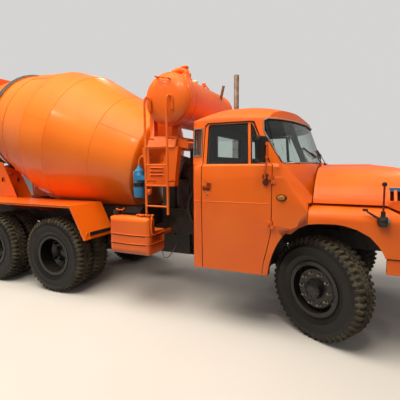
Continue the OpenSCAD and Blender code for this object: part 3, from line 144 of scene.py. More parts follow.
# A piece that rides on a body, built of parts: each is a mesh, or a mesh and the places of its copies
def piece(name, parts, body, slot, *finishes, smooth=35):
    mesh = bmesh.new()
    for part in parts:
        part, *places = part if isinstance(part, tuple) else (part, Matrix())
        bmesh.ops.recalc_face_normals(part, faces=part.faces)
        part_data = bpy.data.meshes.new("part")
        part.to_mesh(part_data)
        part.free()
        for place in places:
            before = len(mesh.verts)
            mesh.from_mesh(part_data)
            mesh.verts.ensure_lookup_table()
            bmesh.ops.transform(mesh, matrix=place, verts=mesh.verts[before:])
        bpy.data.meshes.remove(part_data)
    bmesh.ops.recalc_face_normals(mesh, faces=mesh.faces)
    data = bpy.data.meshes.new(name)
    mesh.to_mesh(data)
    mesh.free()
    for finish in finishes:
        data.materials.append(finish)
    data.shade_smooth()
    data.set_sharp_from_angle(angle=math.radians(smooth))
    made = link_object(name, data)
    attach(made, body)
    return made


def soften(part, edges, offset, segments=1):
    bmesh.ops.bevel(part, geom=edges, offset=offset, segments=segments, affect="EDGES", profile=0.5, material=-1)
    return part


# A round rod with chamfered ends between two points
def rod(start, end, radius, corners=16):
    part = bmesh.new()
    line = end - start
    bmesh.ops.create_cone(part, cap_ends=True, segments=corners, radius1=radius, radius2=radius,
                          depth=line.length, matrix=Matrix.Translation((start + end) / 2)
                          @ line.to_track_quat("Z", "Y").to_matrix().to_4x4())
    rim = [e for e in part.edges if any(len(f.verts) > 4 for f in e.link_faces)] if corners > 6 else part.edges[:]
    return soften(part, rim, min(radius * 0.15, 0.003))


# A turned part: an outline of (radius, height) in millimetres, spun round its own axis
def turned(outline, steps=48, closed=False):
    part = bmesh.new()
    ring = [part.verts.new((r / 1000, 0, a / 1000)) for r, a in outline]
    edges = [part.edges.new(pair) for pair in zip(ring, ring[1:] + (ring[:1] if closed else []))]
    bmesh.ops.spin(part, geom=ring + edges, cent=(0, 0, 0), axis=(0, 0, 1), angle=2 * math.pi, steps=steps,
                   use_merge=True)
    bmesh.ops.remove_doubles(part, verts=part.verts, dist=1e-5)
    return part


# Bent tubes along rows of points, made as a bevelled curve and turned into mesh
def tubes(paths, radius, closed=False, facets=3, smooth=False):
    curve = bpy.data.curves.new("tube", "CURVE")
    curve.dimensions = "3D"
    curve.bevel_depth = radius
    curve.bevel_resolution = facets
    curve.use_fill_caps = not closed
    for path in paths:
        spline = curve.splines.new("NURBS" if smooth else "POLY")
        spline.points.add(len(path) - 1)
        for point, spot in zip(spline.points, path):
            point.co = (*spot, 1)
        spline.use_cyclic_u = closed
        if smooth:
            spline.order_u, spline.use_endpoint_u, spline.resolution_u = 4, True, 5
    holder = bpy.data.objects.new("tube", curve)
    data = bpy.data.meshes.new_from_object(holder)
    part = bmesh.new()
    part.from_mesh(data)
    bpy.data.objects.remove(holder)
    bpy.data.curves.remove(curve)
    bpy.data.meshes.remove(data)
    return part


# Satin black paint that road dust has turned dull and grey-brown
chassis_black = dusty_finish("chassis_black", "#1b1a19", "#5d5348", 0.35, 0.5, 8, 0.25)
dress(chassis_black, "backbone_tube", "chassis_frame", "half_axles", "rear_springs", "knuckle_left",
      "knuckle_right")
piece("frame_rivets", [
    (turned([(11, -2), (11, 1), (8, 5), (4, 7), (0, 7.5)], 10),
     *[set_at(x, side * rail_face, z) @ outwards(side) for x in range(-5900, 900, 150)
       for z in (rail_low, rail_high)])
    for side in (-1, 1)], "truck", "chassis_paint", chassis_black)
hoses = []
for side in (-1, 1):
    path = [at(-150, side * 470, 900), at(-140, side * 500, 820), at(-110, side * 560, 700),
            at(-90, side * 640, 610), at(-70, side * 690, 600)]
    hoses += [tubes([path], 0.011, smooth=True), rod(path[0], path[0] + Vector((0, -side * 0.05, 0.02)), 0.017, 6)]
piece("brake_hoses", hoses, "truck", "chassis_paint",
      dusty_finish("hose_rubber", "#161514", "#4b443b", 0.2, 0.6, 3, 0.2))

# Engine block and the drum's gearbox: iron castings in dull grey with oily dust.
# The gearbox has a ring of bolts round its flange, and cooling ribs round its case.
casting = dusty_finish("grey_casting", "#45423f", "#6b6156", 0.5, 0.6, 4, 0.5, edge=0.008)
dress(casting, "engine_block", "drum_drive")
drum_tilt, drum_x, drum_z = 15.7, 3500, 2107


# A place along the drum's axis: its own Z runs backwards and up through the mouth
def on_drum(along):
    return set_at(-drum_x, 0, drum_z) @ spin(drum_tilt - 90, "Y") @ Matrix.Translation((0, 0, along / 1000))


piece("gearbox_trim", [
    (turned([(228, -1470), (240, -1470), (240, -1452), (228, -1452)], 64, True), on_drum(0)),
    *[(turned([(228, rib), (238, rib), (236, rib + 12), (228, rib + 12)], 64, True), on_drum(0))
      for rib in (-1400, -1350, -1300, -1250)],
    (rod(Vector(), Vector((0, 0, 0.016)), 0.012, 6), *circle_of(12, 0.19, on_drum(-1478)))],
      "truck", "engine_metal", casting)

# Wheels: pressed steel discs in black enamel, ten to a hub, with a split lock ring at the rim.
# The nuts are zinc-plated and show pale against the black. The hub carries a bolted cover.
wheel_enamel = dusty_finish("wheel_enamel", "#0f0f0f", "#3b342d", 0.18, 0.28, 10, 0.12)
dress(wheel_enamel, *[wheel + hand for wheel in ("front_wheel_", "middle_wheels_", "rear_wheels_")
                      for hand in ("left", "right")])
front_track, rear_track, kingpin_track, twin_half, steer = 1930, 1764, 1700, 165, 31
nut_circle, nut_count = 167, 10


# A finish whose colour runs between two tones over clouds or ribs, and whose roughness may follow them
def toned(name, first, second, scale, detail=None, ribs=None, dull=None, **shader_values):
    made, tree, shader = new_finish(name, **shader_values)
    inputs = {"Vector": add(tree, "TexCoord").outputs["Object"], "Scale": scale}
    if detail:
        inputs["Detail"] = detail
    pattern = add(tree, "TexWave", {"bands_direction": ribs}, inputs) if ribs else add(tree, "TexNoise", None, inputs)
    tone = add(tree, "Mix", {"data_type": "RGBA"}, {0: pattern.outputs["Fac"], 6: hex_colour(first),
                                                    7: hex_colour(second)})
    tree.links.new(tone.outputs[2], shader.inputs["Base Color"])
    if dull:
        rough = add(tree, "MapRange", None, {"Value": pattern.outputs["Fac"], "To Min": dull[0], "To Max": dull[1]})
        tree.links.new(rough.outputs[0], shader.inputs["Roughness"])
    return made, tree, shader


# Pale, dull metal with a yellowish bloom
zinc = toned("zinc_plated_nuts", "#a99f8e", "#665e53", 60.0, 4.0, Metallic=1.0, Roughness=0.38)[0]


# A wheel's place: its own Z points outwards. The front wheels are turned round their kingpins
def hub_place(x, side):
    if x:
        return set_at(x, side * rear_track / 2, hub_height) @ outwards(side)
    offset = Matrix.Translation((0, side * (front_track - kingpin_track) / 2000, hub_height / 1000))
    return set_at(0, side * kingpin_track / 2, 0) @ spin(-steer, "Z") @ offset @ outwards(side)


# Each wheel or pair: distance ahead, side, body, and how far out its nuts and its hub's end stand
wheel_bodies = [(0, 1, "front_wheel_left", 75, 132), (0, -1, "front_wheel_right", 75, 132)]
for row, x in (("middle", -wheelbase), ("rear", -wheelbase - bogie_spread)):
    wheel_bodies += [(x, 1, row + "_pair_left", 23, 96), (x, -1, row + "_pair_right", 23, 96)]
for x, side, body, seat, cap in wheel_bodies:
    hub = hub_place(x, side)
    circle = circle_of(nut_count, nut_circle / 1000, hub)
    piece("nuts_" + body, [
        (turned([(23, seat + 0.4), (23, seat + 3), (20, seat + 5), (0, seat + 5)], 20), *circle),
        (rod(Vector((0, 0, seat + 4)) / 1000, Vector((0, 0, seat + 27)) / 1000, 0.0192, 6), *circle),
        (turned([(11, seat + 20), (11, seat + 36), (8, seat + 39), (0, seat + 39)], 12), *circle)],
          body, "bare_steel", zinc)
    lip = twin_half + 107 if x else 107
    piece("hub_cover_" + body, [
        (turned([(88, cap - 2), (88, cap + 5), (84, cap + 8), (62, cap + 9), (56, cap + 13), (30, cap + 15),
                 (0, cap + 16)], 40), hub),
        (turned([(8, cap + 6), (8, cap + 13), (6, cap + 15), (0, cap + 15)], 6), *circle_of(8, 0.073, hub)),
        (turned([(262, lip + 9), (290.5, lip + 9), (293, lip + 4), (293, lip - 1), (288, lip - 2), (284, lip + 3),
                 (262, lip + 4)], 72, True), hub),
        (rod(Vector((0.253, 0, lip / 1000 - 0.03)), Vector((0.253, 0, lip / 1000 + 0.02)), 0.006, 8), hub)],
          body, "wheel_paint", wheel_enamel)

# Tyres: cross-ply tyres with an open lug tread, 1084 mm over the lugs and 293 mm wide.
# Black rubber: smooth and near black on the walls, with a moulded ring, and dusty grey-brown on the tread.
# Each has 50 lugs a side that reach down the shoulder, and a pair of wavy ribs between them.
sidewall = dusty_finish("tyre_sidewall", "#0b0a09", "#2b251f", 0.2, 0.55, 5, 0.15, lying=0.1, edge=0.001)
tread = dusty_finish("tyre_tread", "#2f2c26", "#736a56", 0.85, 0.82, 4, 0.5, lying=0.4, edge=0.002)
lug_count, lug_tip, groove, tread_edge = 50, 541.0, 518, 0.502


# A flat outline drawn out along a direction
def drawn(points, depth):
    part = bmesh.new()
    face = part.faces.new([part.verts.new(point) for point in points])
    grown = bmesh.ops.extrude_face_region(part, geom=[face])
    bmesh.ops.translate(part, vec=depth, verts=[v for v in grown["geom"] if isinstance(v, bmesh.types.BMVert)])
    return part


def tyre(place):
    half = [(262.5, 106), (297, 106), (305, 118), (331, 132), (352, 138), (356, 141), (360, 140), (400, 145.5),
            (436, 145), (440, 146.4), (446, 146), (450, 143), (478, 136), (498, 126), (512, 117), (groove, 100),
            (groove, 50)]
    wall = turned(half + [(groove, 0)] + [(r, -a) for r, a in reversed(half)], 96, True)
    for face in wall.faces:
        face.material_index = 1 if face.calc_center_median().xy.length > tread_edge else 0
    lug = drawn([(r / 1000, -0.0165, a / 1000) for r, a in (
        (groove - 4, 48), (lug_tip, 48), (lug_tip, 110), (511, 126), (484, 135), (472, 137), (470, 134),
        (490, 124), (508, 112))], (0, 0.033, 0))
    rib = drawn([(0.512, y / 1000, a / 1000) for y, a in (
        (-30, 8), (-6, 15), (8, 8), (30, 8), (30, 34), (9, 34), (-5, 41), (-30, 34))], (0.0275, 0, 0))
    for bar in (lug, rib):
        soften(bar, bar.edges[:], 0.003)
        for face in bar.faces:
            face.material_index = 1
    flip = Matrix.Diagonal(Vector((1, 1, -1, 1)))
    whole = [Matrix.Rotation(2 * math.pi / lug_count * i, 4, "Z") for i in range(lug_count)]
    between = [Matrix.Rotation(math.pi / lug_count, 4, "Z") @ turn for turn in whole]
    lug_copy, rib_copy = lug.copy(), rib.copy()
    return [(wall, place), (lug, *[place @ turn for turn in whole]),
            (lug_copy, *[place @ flip @ turn for turn in between]), (rib, *[place @ turn for turn in between]),
            (rib_copy, *[place @ flip @ turn for turn in whole])]


for x, side, body, seat, cap in wheel_bodies:
    rubber = [part for along in ([twin_half, -twin_half] if x else [0])
              for part in tyre(hub_place(x, side) @ Matrix.Translation((0, 0, along / 1000)))]
    node = body.replace("front_wheel", "front_tyre").replace("_pair", "_tyres")
    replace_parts(piece("tread_" + body, rubber, body, "tyre_rubber", sidewall, tread), node)

# Cab and doors: pressed steel panels in glossy orange enamel, sprayed and baked, so it has a faint
# orange-peel surface under a clear gloss. The doors have a swage along the crease and a sunk pull handle.
half_width, door_lean, belt, gutter, gutter_half, crease, sill = 1212, 26, 1833, 2320, 1110, 1430, 668


# Sprayed enamel: clouds of two close tones, dust on top, painted shade darkening the corners and creases, and a clear
# coat over it
def enamel(name, light, deep, dust, rough=0.38, coat=0.4):
    made, tree, shader = new_finish(name, Coat_Weight=coat, Coat_Roughness=0.16)
    place = add(tree, "TexCoord").outputs["Object"]
    cloud = add(tree, "TexNoise", None, {"Vector": place, "Scale": 1.3, "Detail": 3.0})
    share = add(tree, "MapRange", None, {"Value": cloud.outputs["Fac"], "From Min": 0.35, "From Max": 0.65})
    tone = add(tree, "Mix", {"data_type": "RGBA"}, {0: share.outputs[0], 6: hex_colour(light),
                                                    7: hex_colour(deep)})
    height = add(tree, "SeparateXYZ", None, {0: add(tree, "NewGeometry").outputs["Normal"]}).outputs["Z"]
    top = add(tree, "MapRange", None, {"Value": height, "From Min": 0.4, "From Max": 0.95})
    fleck = add(tree, "TexNoise", None, {"Vector": place, "Scale": 9.0, "Detail": 6.0})
    film = add(tree, "MapRange", None, {"Value": fleck.outputs["Fac"], "From Min": 0.35, "From Max": 0.8,
                                        "To Max": 0.1})
    dusty = add(tree, "Math", {"operation": "MULTIPLY"}, {0: film.outputs[0], 1: top.outputs[0]})
    pale = add(tree, "Mix", {"data_type": "RGBA"}, {0: dusty.outputs[0], 6: tone.outputs[2],
                                                    7: hex_colour(dust)})
    # Painted shade: ambient occlusion darkens the colour towards a deep brown in corners and creases
    shade = add(tree, "AmbientOcclusion", {"samples": 6}, {"Distance": 0.04}).outputs["AO"]
    painted_corner_shade = add(tree, "MapRange", None, {"Value": shade, "From Min": 0.7, "From Max": 0.2, "To Max": 0.55})
    dark = add(tree, "Mix", {"data_type": "RGBA"}, {0: painted_corner_shade.outputs[0], 6: pale.outputs[2],
                                                    7: hex_colour("#2a1008")})
    tree.links.new(dark.outputs[2], shader.inputs["Base Color"])
    speck = add(tree, "TexNoise", None, {"Vector": place, "Scale": 30.0, "Detail": 4.0})
    gloss = add(tree, "MapRange", None, {"Value": speck.outputs["Fac"], "From Min": 0.3, "From Max": 0.8,
                                         "To Min": rough - 0.03, "To Max": rough + 0.04})
    tree.links.new(gloss.outputs[0], shader.inputs["Roughness"])
    soft = add(tree, "Bevel", {"samples": 4}, {"Radius": 0.004}).outputs["Normal"]
    peel = add(tree, "TexNoise", None, {"Vector": place, "Scale": 260.0, "Detail": 2.0})
    rise = add(tree, "Bump", None, {"Height": peel.outputs["Fac"], "Strength": 0.12, "Distance": 0.0006,
                                    "Normal": soft})
    tree.links.new(rise.outputs["Normal"], shader.inputs["Normal"])
    tree.links.new(soft, shader.inputs["Coat Normal"])
    return made


# A CAD piece as one closed sheet of faces
def merged(node):
    sheet = bmesh.new()
    sheet.from_mesh(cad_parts[node].data)
    bmesh.ops.remove_doubles(sheet, verts=sheet.verts, dist=2e-5)
    return sheet


# The cowl's crease is drawn out soft, as a pressed panel bends
def soften_cowl(sheet):
    low, high = at(-505, 0, 1456), at(-172, 0, 1812)
    for _ in range(4):
        span = [e for e in sheet.edges if e.calc_length() > 0.05 and any(
            low.x - 0.02 < v.co.x < high.x + 0.02 and low.z - 0.05 < v.co.z < high.z + 0.02
            and abs(v.co.y) > 0.6 for v in e.verts)]
        bmesh.ops.subdivide_edges(sheet, edges=span, cuts=1)
        bmesh.ops.triangulate(sheet, faces=[f for f in sheet.faces if len(f.verts) > 4])
    bend = [v for v in sheet.verts if low.x < v.co.x < high.x and low.z < v.co.z < high.z and abs(v.co.y) > 0.62]
    for _ in range(110):
        bmesh.ops.smooth_vert(sheet, verts=bend, factor=0.5, use_axis_x=False, use_axis_y=True, use_axis_z=False)


def even_normals(panel):
    even = panel.modifiers.new("even_normals", "WEIGHTED_NORMAL")
    even.keep_sharp, even.weight = True, 80


# A pressed or rolled CAD piece merged into one sheet, so that its bends shade smoothly
def pressed(node, body, slot, *finishes):
    sheet = merged(node)
    if node == "cab_shell":
        soften_cowl(sheet)
    made = piece("pressed_" + node, [sheet], body, slot, *finishes, smooth=30)
    even_normals(made)
    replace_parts(made, node)
    return made


# Orange enamel with clouds of a deeper orange, and a dark red-brown inside the cab: the lining's colour, deepened as
# painted shade
orange = enamel("orange_enamel", "#f4700e", "#ec620a", "#cfa687")
lining_and_inner_shade = dusty_finish("red_brown_lining_and_painted_shade", "#2b0f0a", "#4a2a20", 0.3, 0.7, 3, 0.3)
cab_middle = at(-800, 0, 1900)
for node, body in (("cab_shell", "truck"), ("door_left", "door_left"), ("door_right", "door_right"),
                   ("bonnet", "bonnet"), ("wings", "truck"), ("front_bumper", "truck")):
    for face in pressed(node, body, "orange_paint", orange, lining_and_inner_shade, chassis_black).data.polygons:
        spot = face.center
        inwards = face.normal.dot((cab_middle - spot).normalized()) > 0.25
        # Faces turned into the cab take the lining colour, deepened as painted shade
        if node == "cab_shell" and inwards and spot.z > 1.15 and abs(spot.y) < 1.19:
            face.material_index = 1
        elif "door" in node and face.normal.y * spot.y < -0.5 * abs(spot.y) and spot.z < 2.3:
            face.material_index = 1
        elif node in ("cab_shell", "wings") and spot.z < 1.3 and 0.5 < abs(spot.y) < 1.16 \
                and at(-700, 0, 0).x < spot.x < at(700, 0, 0).x:
            face.material_index = 2

# Rear roof panel: the pressed sheet that falls from the roof's crown to the rear wall, welded in
# flush with the shell's rim and painted with it, over a lining whose dark red-brown is partly painted shade
roof_slope, roof_rim_x, roof_rim_z, roof_steps = 0.3636, -1400, 2336, 12
roof_sheet = bmesh.new()
rows = []
for z, half in ((2322, 1085), (2336, 1080), (2378, 1050), (2412, 1005), (2444, 925), (2462, 830)):
    x = roof_rim_x + (z - roof_rim_z) / roof_slope
    rows.append([[roof_sheet.verts.new(at(x, half * k / roof_steps, z - under))
                  for k in range(-roof_steps, roof_steps + 1)] for under in (1, 26)])
for (low_top, low_under), (high_top, high_under) in zip(rows, rows[1:]):
    for k in range(2 * roof_steps):
        roof_sheet.faces.new((low_top[k + 1], low_top[k], high_top[k], high_top[k + 1]))
        under = roof_sheet.faces.new((low_under[k], low_under[k + 1], high_under[k + 1], high_under[k]))
        under.material_index = 1
piece("rear_roof_panel", [roof_sheet], "truck", "orange_paint", orange, lining_and_inner_shade)


# How far out the cab's side stands at a height
def side_y(z):
    if z > belt + 10:
        return half_width - 46 + (z - belt - 10) / (gutter - belt - 10) * (gutter_half - half_width + 46)
    if z > belt - 20:
        return half_width - 14 - (z - belt + 20) / 30 * 32
    if z > crease:
        return half_width - 14 * (z - crease) / (belt - 20 - crease)
    return half_width - door_lean * (crease - z) / (crease - sill)


# A block between two corners, with its edges rounded
def block(low, high, radius=0.004, segments=2):
    part = bmesh.new()
    size = high - low
    bmesh.ops.create_cube(part, size=1.0, matrix=Matrix.Translation((low + high) / 2)
                          @ Matrix.Diagonal(Vector((abs(size.x), abs(size.y), abs(size.z), 1))))
    return soften(part, part.edges[:], radius, segments)


# Dull black rubber, handles in old red-brown paint, the same dark red as painted shade on the orange mirror knuckles,
# and a slightly shiny black enamel
black_rubber = dusty_finish("black_rubber", "#100f0e", "#3c3833", 0.15, 0.5, 3, 0.15)
dark_red_paint_and_shade = dusty_finish("dark_red_paint_and_painted_shade", "#5e1c0b", "#8a3e20", 0.3, 0.3, 5, 0.1)
satin_black = dusty_finish("satin_black_enamel", "#131211", "#3f3a35", 0.12, 0.35, 6, 0.1)
for side, hand in sides:
    body = "door_" + hand
    # A pressed surround with rounded corners stands round the sunk pull, whose bar is hinged at its rear end
    corners = [(-1292, 1538), (-1206, 1538), (-1190, 1546), (-1184, 1562), (-1184, 1618), (-1190, 1634),
               (-1206, 1642), (-1292, 1642)]
    piece("handle_surround_" + hand, [tubes([[at(x, side * (side_y(z) - 1), z) for x, z in corners]], 0.0055,
                                            closed=True)], body, "orange_paint", orange)
    handle = [block(at(x - 9, side * (side_y(1570) - 6), 1575 - tall),
                    at(x + 9, side * (side_y(1570) + 9), 1575 + tall)) for x, tall in ((-1284, 22), (-1236, 17))]
    handle.append(block(at(-1290, side * (side_y(1576) + 7), 1566), at(-1206, side * (side_y(1576) + 19), 1588),
                        0.005, 3))
    spring_y = side * (side_y(1596) + 3)
    handle.append(tubes([[at(-1290, spring_y, 1600), at(-1216, spring_y, 1600), at(-1208, spring_y, 1592)]], 0.003))
    piece("door_handle_" + hand, handle, body, "mirror_black", dark_red_paint_and_shade)
    piece("door_lock_" + hand, [(turned([(13, 0), (13, 3), (9, 5), (0, 5)], 24),
                                 set_at(-1240, side * side_y(1500), 1500) @ outwards(side))],
          body, "bare_steel", zinc)
    # The swage: a low rolled rib along the crease, over the door and on to the cab's rear corner
    for name, rides_on, swage in (("door_swage_", body, (-1296, -1100, -900, -700, -560)),
                                  ("cab_swage_", "truck", (-1380, -1350, -1320))):
        piece(name + hand, [tubes([[at(x, side * (half_width - 10), crease) for x in swage]], 0.0125)],
              rides_on, "orange_paint", orange)

# Window seals and drip rails: black rubber round every pane, with a bright bead let into the windscreen's,
# the rear window's and the corner windows'. A black drip rail runs over each door and down its quarter light.
# Bright trim: polished metal with a few dull clouds
bright_trim = toned("bright_trim", "#f2f2ee", "#cfccc4", 20.0, 4.0, Metallic=0.85, Roughness=0.3)[0]


# The outer rim of each pane in a glass piece, as closed rows of (place, outward direction)
def pane_rims(node):
    pane = merged(node)
    inside = at(-800, 0, 2050)
    outer = [f for f in pane.faces if f.normal.dot((f.calc_center_median() - inside).normalized()) > 0.62]
    chosen = set(outer)
    follow = {}
    for face in outer:
        for loop in face.loops:
            if not any(f in chosen for f in loop.edge.link_faces if f is not face):
                follow[loop.vert] = loop.link_loop_next.vert
    rims = []
    while follow:
        rim, spot = [], next(iter(follow))
        while spot in follow:
            facing = sum((f.normal for f in spot.link_faces if f in chosen), Vector()).normalized()
            rim.append((spot.co.copy(), facing))
            spot = follow.pop(spot)
        thinned = [rim[0]]
        for item in rim[1:]:
            if (item[0] - thinned[-1][0]).length > 0.006:
                thinned.append(item)
        rims.append(thinned)
    pane.free()
    return rims


# Beads round the panes of a glass piece, lifted off it by a distance
def beading(rims, lift, radius):
    return [tubes([[spot + facing * lift for spot, facing in rim]], radius, closed=True) for rim in rims]


for node, body, radius in (("cab_glazing", "truck", 0.013), ("door_glass_left", "door_left", 0.0085),
                           ("door_glass_right", "door_right", 0.0085)):
    rims = pane_rims(node)
    piece("seals_" + node, beading(rims, 0.005, radius), body, "mirror_black", black_rubber)
    if node == "cab_glazing":
        piece("window_beads", beading(rims, 0.0175, 0.006), body, "bare_steel", bright_trim)
for side, hand in sides:
    rail = [(-1296, 2256), (-1266, 2284), (-1030, 2287), (-794, 2284), (-752, 2278), (-656, 2076), (-562, 1858)]
    piece("drip_rail_" + hand, [tubes([[at(x, side * (side_y(z) + 3), z) for x, z in rail]], 0.0065)],
          "door_" + hand, "mirror_black", satin_black)

# Window glass: flat and bent panes of clear toughened glass, very faintly green, with a little smear on them
clear_glass, glass_tree, glass_shader = new_finish("window_glass", Transmission_Weight=1.0, IOR=1.45,
                                                   Base_Color=hex_colour("#dfe9e5"))
glass_cloud = add(glass_tree, "TexNoise", None, {"Vector": add(glass_tree, "TexCoord").outputs["Object"],
                                                 "Scale": 4.0, "Detail": 6.0})
glass_smear = add(glass_tree, "MapRange", None, {"Value": glass_cloud.outputs["Fac"], "From Min": 0.5,
                                                 "From Max": 0.9, "To Max": 0.06})
glass_tree.links.new(glass_smear.outputs[0], glass_shader.inputs["Roughness"])
dress(clear_glass, "cab_glazing", "door_glass_left", "door_glass_right")

# Wipers: two black spring arms on spindles in the cowl, each with a thin rubber blade laid on the glass
surfaces = {}


# Where a line from a point meets a CAD piece
def touch(node, start, towards):
    if node not in surfaces:
        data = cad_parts[node].data
        surfaces[node] = BVHTree.FromPolygons([v.co for v in data.vertices], [p.vertices for p in data.polygons])
    return surfaces[node].ray_cast(start, towards)[0]


wipers = []
backwards, lift = Vector((-1, 0, 0)), Vector((0.022, 0, 0.006))
for foot_y, tip_y in ((-330, -700), (430, 60)):
    foot = touch("cab_shell", at(60, foot_y, 1870), Vector((-1, 0, -0.35))) or at(-150, foot_y, 1850)
    wipers.append(rod(foot - Vector((0.01, 0, 0.01)), foot + Vector((0.03, 0, 0.02)), 0.012, 12))
    low, mid, far = [touch("cab_glazing", at(200, foot_y + (tip_y - foot_y) * share, z), backwards)
                     for share, z in ((0.05, 1905), (0.55, 1960), (1, 2010))]
    wipers += [tubes([[foot + Vector((0.024, 0, 0.016)), low + lift * 1.6, mid + lift]], 0.005),
               tubes([[low + lift * 0.7, mid + lift * 0.6, far + lift * 0.6]], 0.0065),
               tubes([[low + lift * 0.25, mid + lift * 0.2, far + lift * 0.2]], 0.0035)]
piece("wipers", wipers, "truck", "mirror_black", satin_black)

# Mirrors: black moulded shells with a silvered glass in a rubber frame, on an orange arm from a clamp.
# The plastic is matt and black, the glass mirrors with a little smear
mirror_black = dusty_finish("mirror_shell_plastic", "#0f0f0f", "#3a3733", 0.1, 0.4, 3, 0.1)
silver, silver_tree, silver_shader = new_finish("silvered_glass", Metallic=1.0, Base_Color=hex_colour("#dfe3e4"))
silver_cloud = add(silver_tree, "TexNoise", None, {"Vector": add(silver_tree, "TexCoord").outputs["Object"],
                                                   "Scale": 6.0, "Detail": 4.0})
silver_smear = add(silver_tree, "MapRange", None, {"Value": silver_cloud.outputs["Fac"], "To Min": 0.02,
                                                   "To Max": 0.12})
silver_tree.links.new(silver_smear.outputs[0], silver_shader.inputs["Roughness"])
mirror_low, mirror_tall, mirror_wide, mirror_deep = 1850, 262, 172, 46
half_w, half_h, corner = mirror_wide / 2 - 8, mirror_tall / 2 - 8, 42
quarter = [math.radians(t) for t in range(0, 91, 15)]
mirror_ring = [((sy * (half_w - corner + corner * math.cos(a))) / 1000,
                (sz * (half_h - corner + corner * math.sin(a))) / 1000)
               for sy, sz, turns in ((1, 1, quarter), (-1, 1, quarter[::-1]), (-1, -1, quarter),
                                     (1, -1, quarter[::-1])) for a in turns]
for side, hand in sides:
    body = "door_" + hand
    head = set_at(-600, side * (half_width + 118), mirror_low + mirror_tall / 2) @ spin(side * 20, "Z")
    shell = bmesh.new()
    bmesh.ops.create_cube(shell, size=1.0, matrix=Matrix.Diagonal(
        Vector((mirror_deep / 1000, mirror_wide / 1000, mirror_tall / 1000, 1))))
    soften(shell, [e for e in shell.edges if abs((e.verts[0].co - e.verts[1].co).x) > 0.01], 0.05, 8)
    soften(shell, [e for e in shell.edges if e.verts[0].co.x > 0.02 and e.verts[1].co.x > 0.02], 0.02, 5)
    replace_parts(piece("mirror_shell_" + hand, [(shell, head)], body, "mirror_black", mirror_black, smooth=50),
                "mirror_" + hand)
    piece("mirror_glass_" + hand, [(drawn([(-0.0232, y, z) for y, z in mirror_ring], (-0.003, 0, 0)), head)],
          body, "lamp_glass", silver)
    piece("mirror_frame_" + hand, [(tubes([[Vector((-0.024, y, z)) for y, z in mirror_ring]], 0.005,
                                          closed=True), head)], body, "mirror_black", black_rubber)
    y0, y1 = side * (half_width + 18), side * (half_width + 98)
    knuckle = []
    for z, big in ((1712, 33), (1652, 30)):
        knuckle += [(turned([(0, -2), (big - 4, 0), (big, 6), (big, 22), (big - 7, 31), (0, 34)], 24),
                     set_at(-590, side * side_y(z), z) @ outwards(side)),
                    rod(at(-590, side * (side_y(z) + 30), z), at(-590, side * (side_y(z) + 42), z), 0.011, 6)]
    knuckle.append(block(at(-610, side * (side_y(1682) - 3), 1640), at(-570, side * (side_y(1682) + 12), 1726),
                         0.005))
    # The knuckles are orange steel: their dark red is painted shade
    piece("mirror_knuckle_" + hand, knuckle, body, "orange_paint", dark_red_paint_and_shade)
    piece("mirror_arm_" + hand, [
        tubes([[at(-592, y0, 1690), at(-590, y0 + side * 22, 1730), at(-580, y1 - side * 30, 1772),
                at(-566, y1 - side * 4, 1808), at(-560, y1, 1850), at(-560, y1, 2052)]], 0.0105, smooth=True),
        *[block(at(-606, y1 - side * 16, z - 13), at(-548, y1 + side * 12, z + 13), 0.003)
          for z in (1905, 2030)]], body, "orange_paint", orange)

# Cab lamps: an oval amber repeater on each cowl side, in a black rubber base, held by two screws.
# Amber lens: ribbed plastic, half clear, with a gloss
amber = toned("amber_lens", "#c96a12", "#f09a2a", 28.0, ribs="X", Transmission_Weight=0.35, IOR=1.49,
              Roughness=0.12, Coat_Weight=0.6)[0]
for side, hand in sides:
    spot = touch("cab_shell", at(-428, side * 1400, 1500), Vector((0, -side, 0)))
    oval = Matrix.Translation(spot) @ outwards(side) @ Matrix.Diagonal(Vector((1.55, 1, 1, 1)))
    piece("repeater_base_" + hand, [(turned([(0, -6), (33, -6), (34, 4), (31, 9), (0, 9)], 36), oval)],
          "truck", "mirror_black", black_rubber)
    piece("repeater_lens_" + hand, [(turned([(27, 7), (26, 15), (20, 21), (10, 24), (0, 25)], 36), oval)],
          "truck", "lamp_glass", amber)

# Cab interior: a bench with a sprung seat and back in dark red leathercloth, piped and sewn into channels,
# on a painted box, a black crackle-painted dash, and a thin-rimmed wheel on its column.
# Leathercloth: wine red in two tones, with a pressed grain and a faint shine
leather, leather_tree, leather_shader = toned("dark_red_leathercloth", "#3a110c", "#5c2119", 5.0, 5.0,
                                              Roughness=0.48, Coat_Weight=0.15)
leather_grain = add(leather_tree, "TexVoronoi", None, {"Vector": add(leather_tree, "TexCoord").outputs["Object"],
                                                       "Scale": 320.0})
leather_rise = add(leather_tree, "Bump", None, {"Height": leather_grain.outputs["Distance"], "Strength": 0.35,
                                                "Distance": 0.001})
leather_tree.links.new(leather_rise.outputs["Normal"], leather_shader.inputs["Normal"])
crackle = dusty_finish("black_crackle_paint", "#181615", "#4a433c", 0.2, 0.5, 2, 0.6)
floor_height = 1140


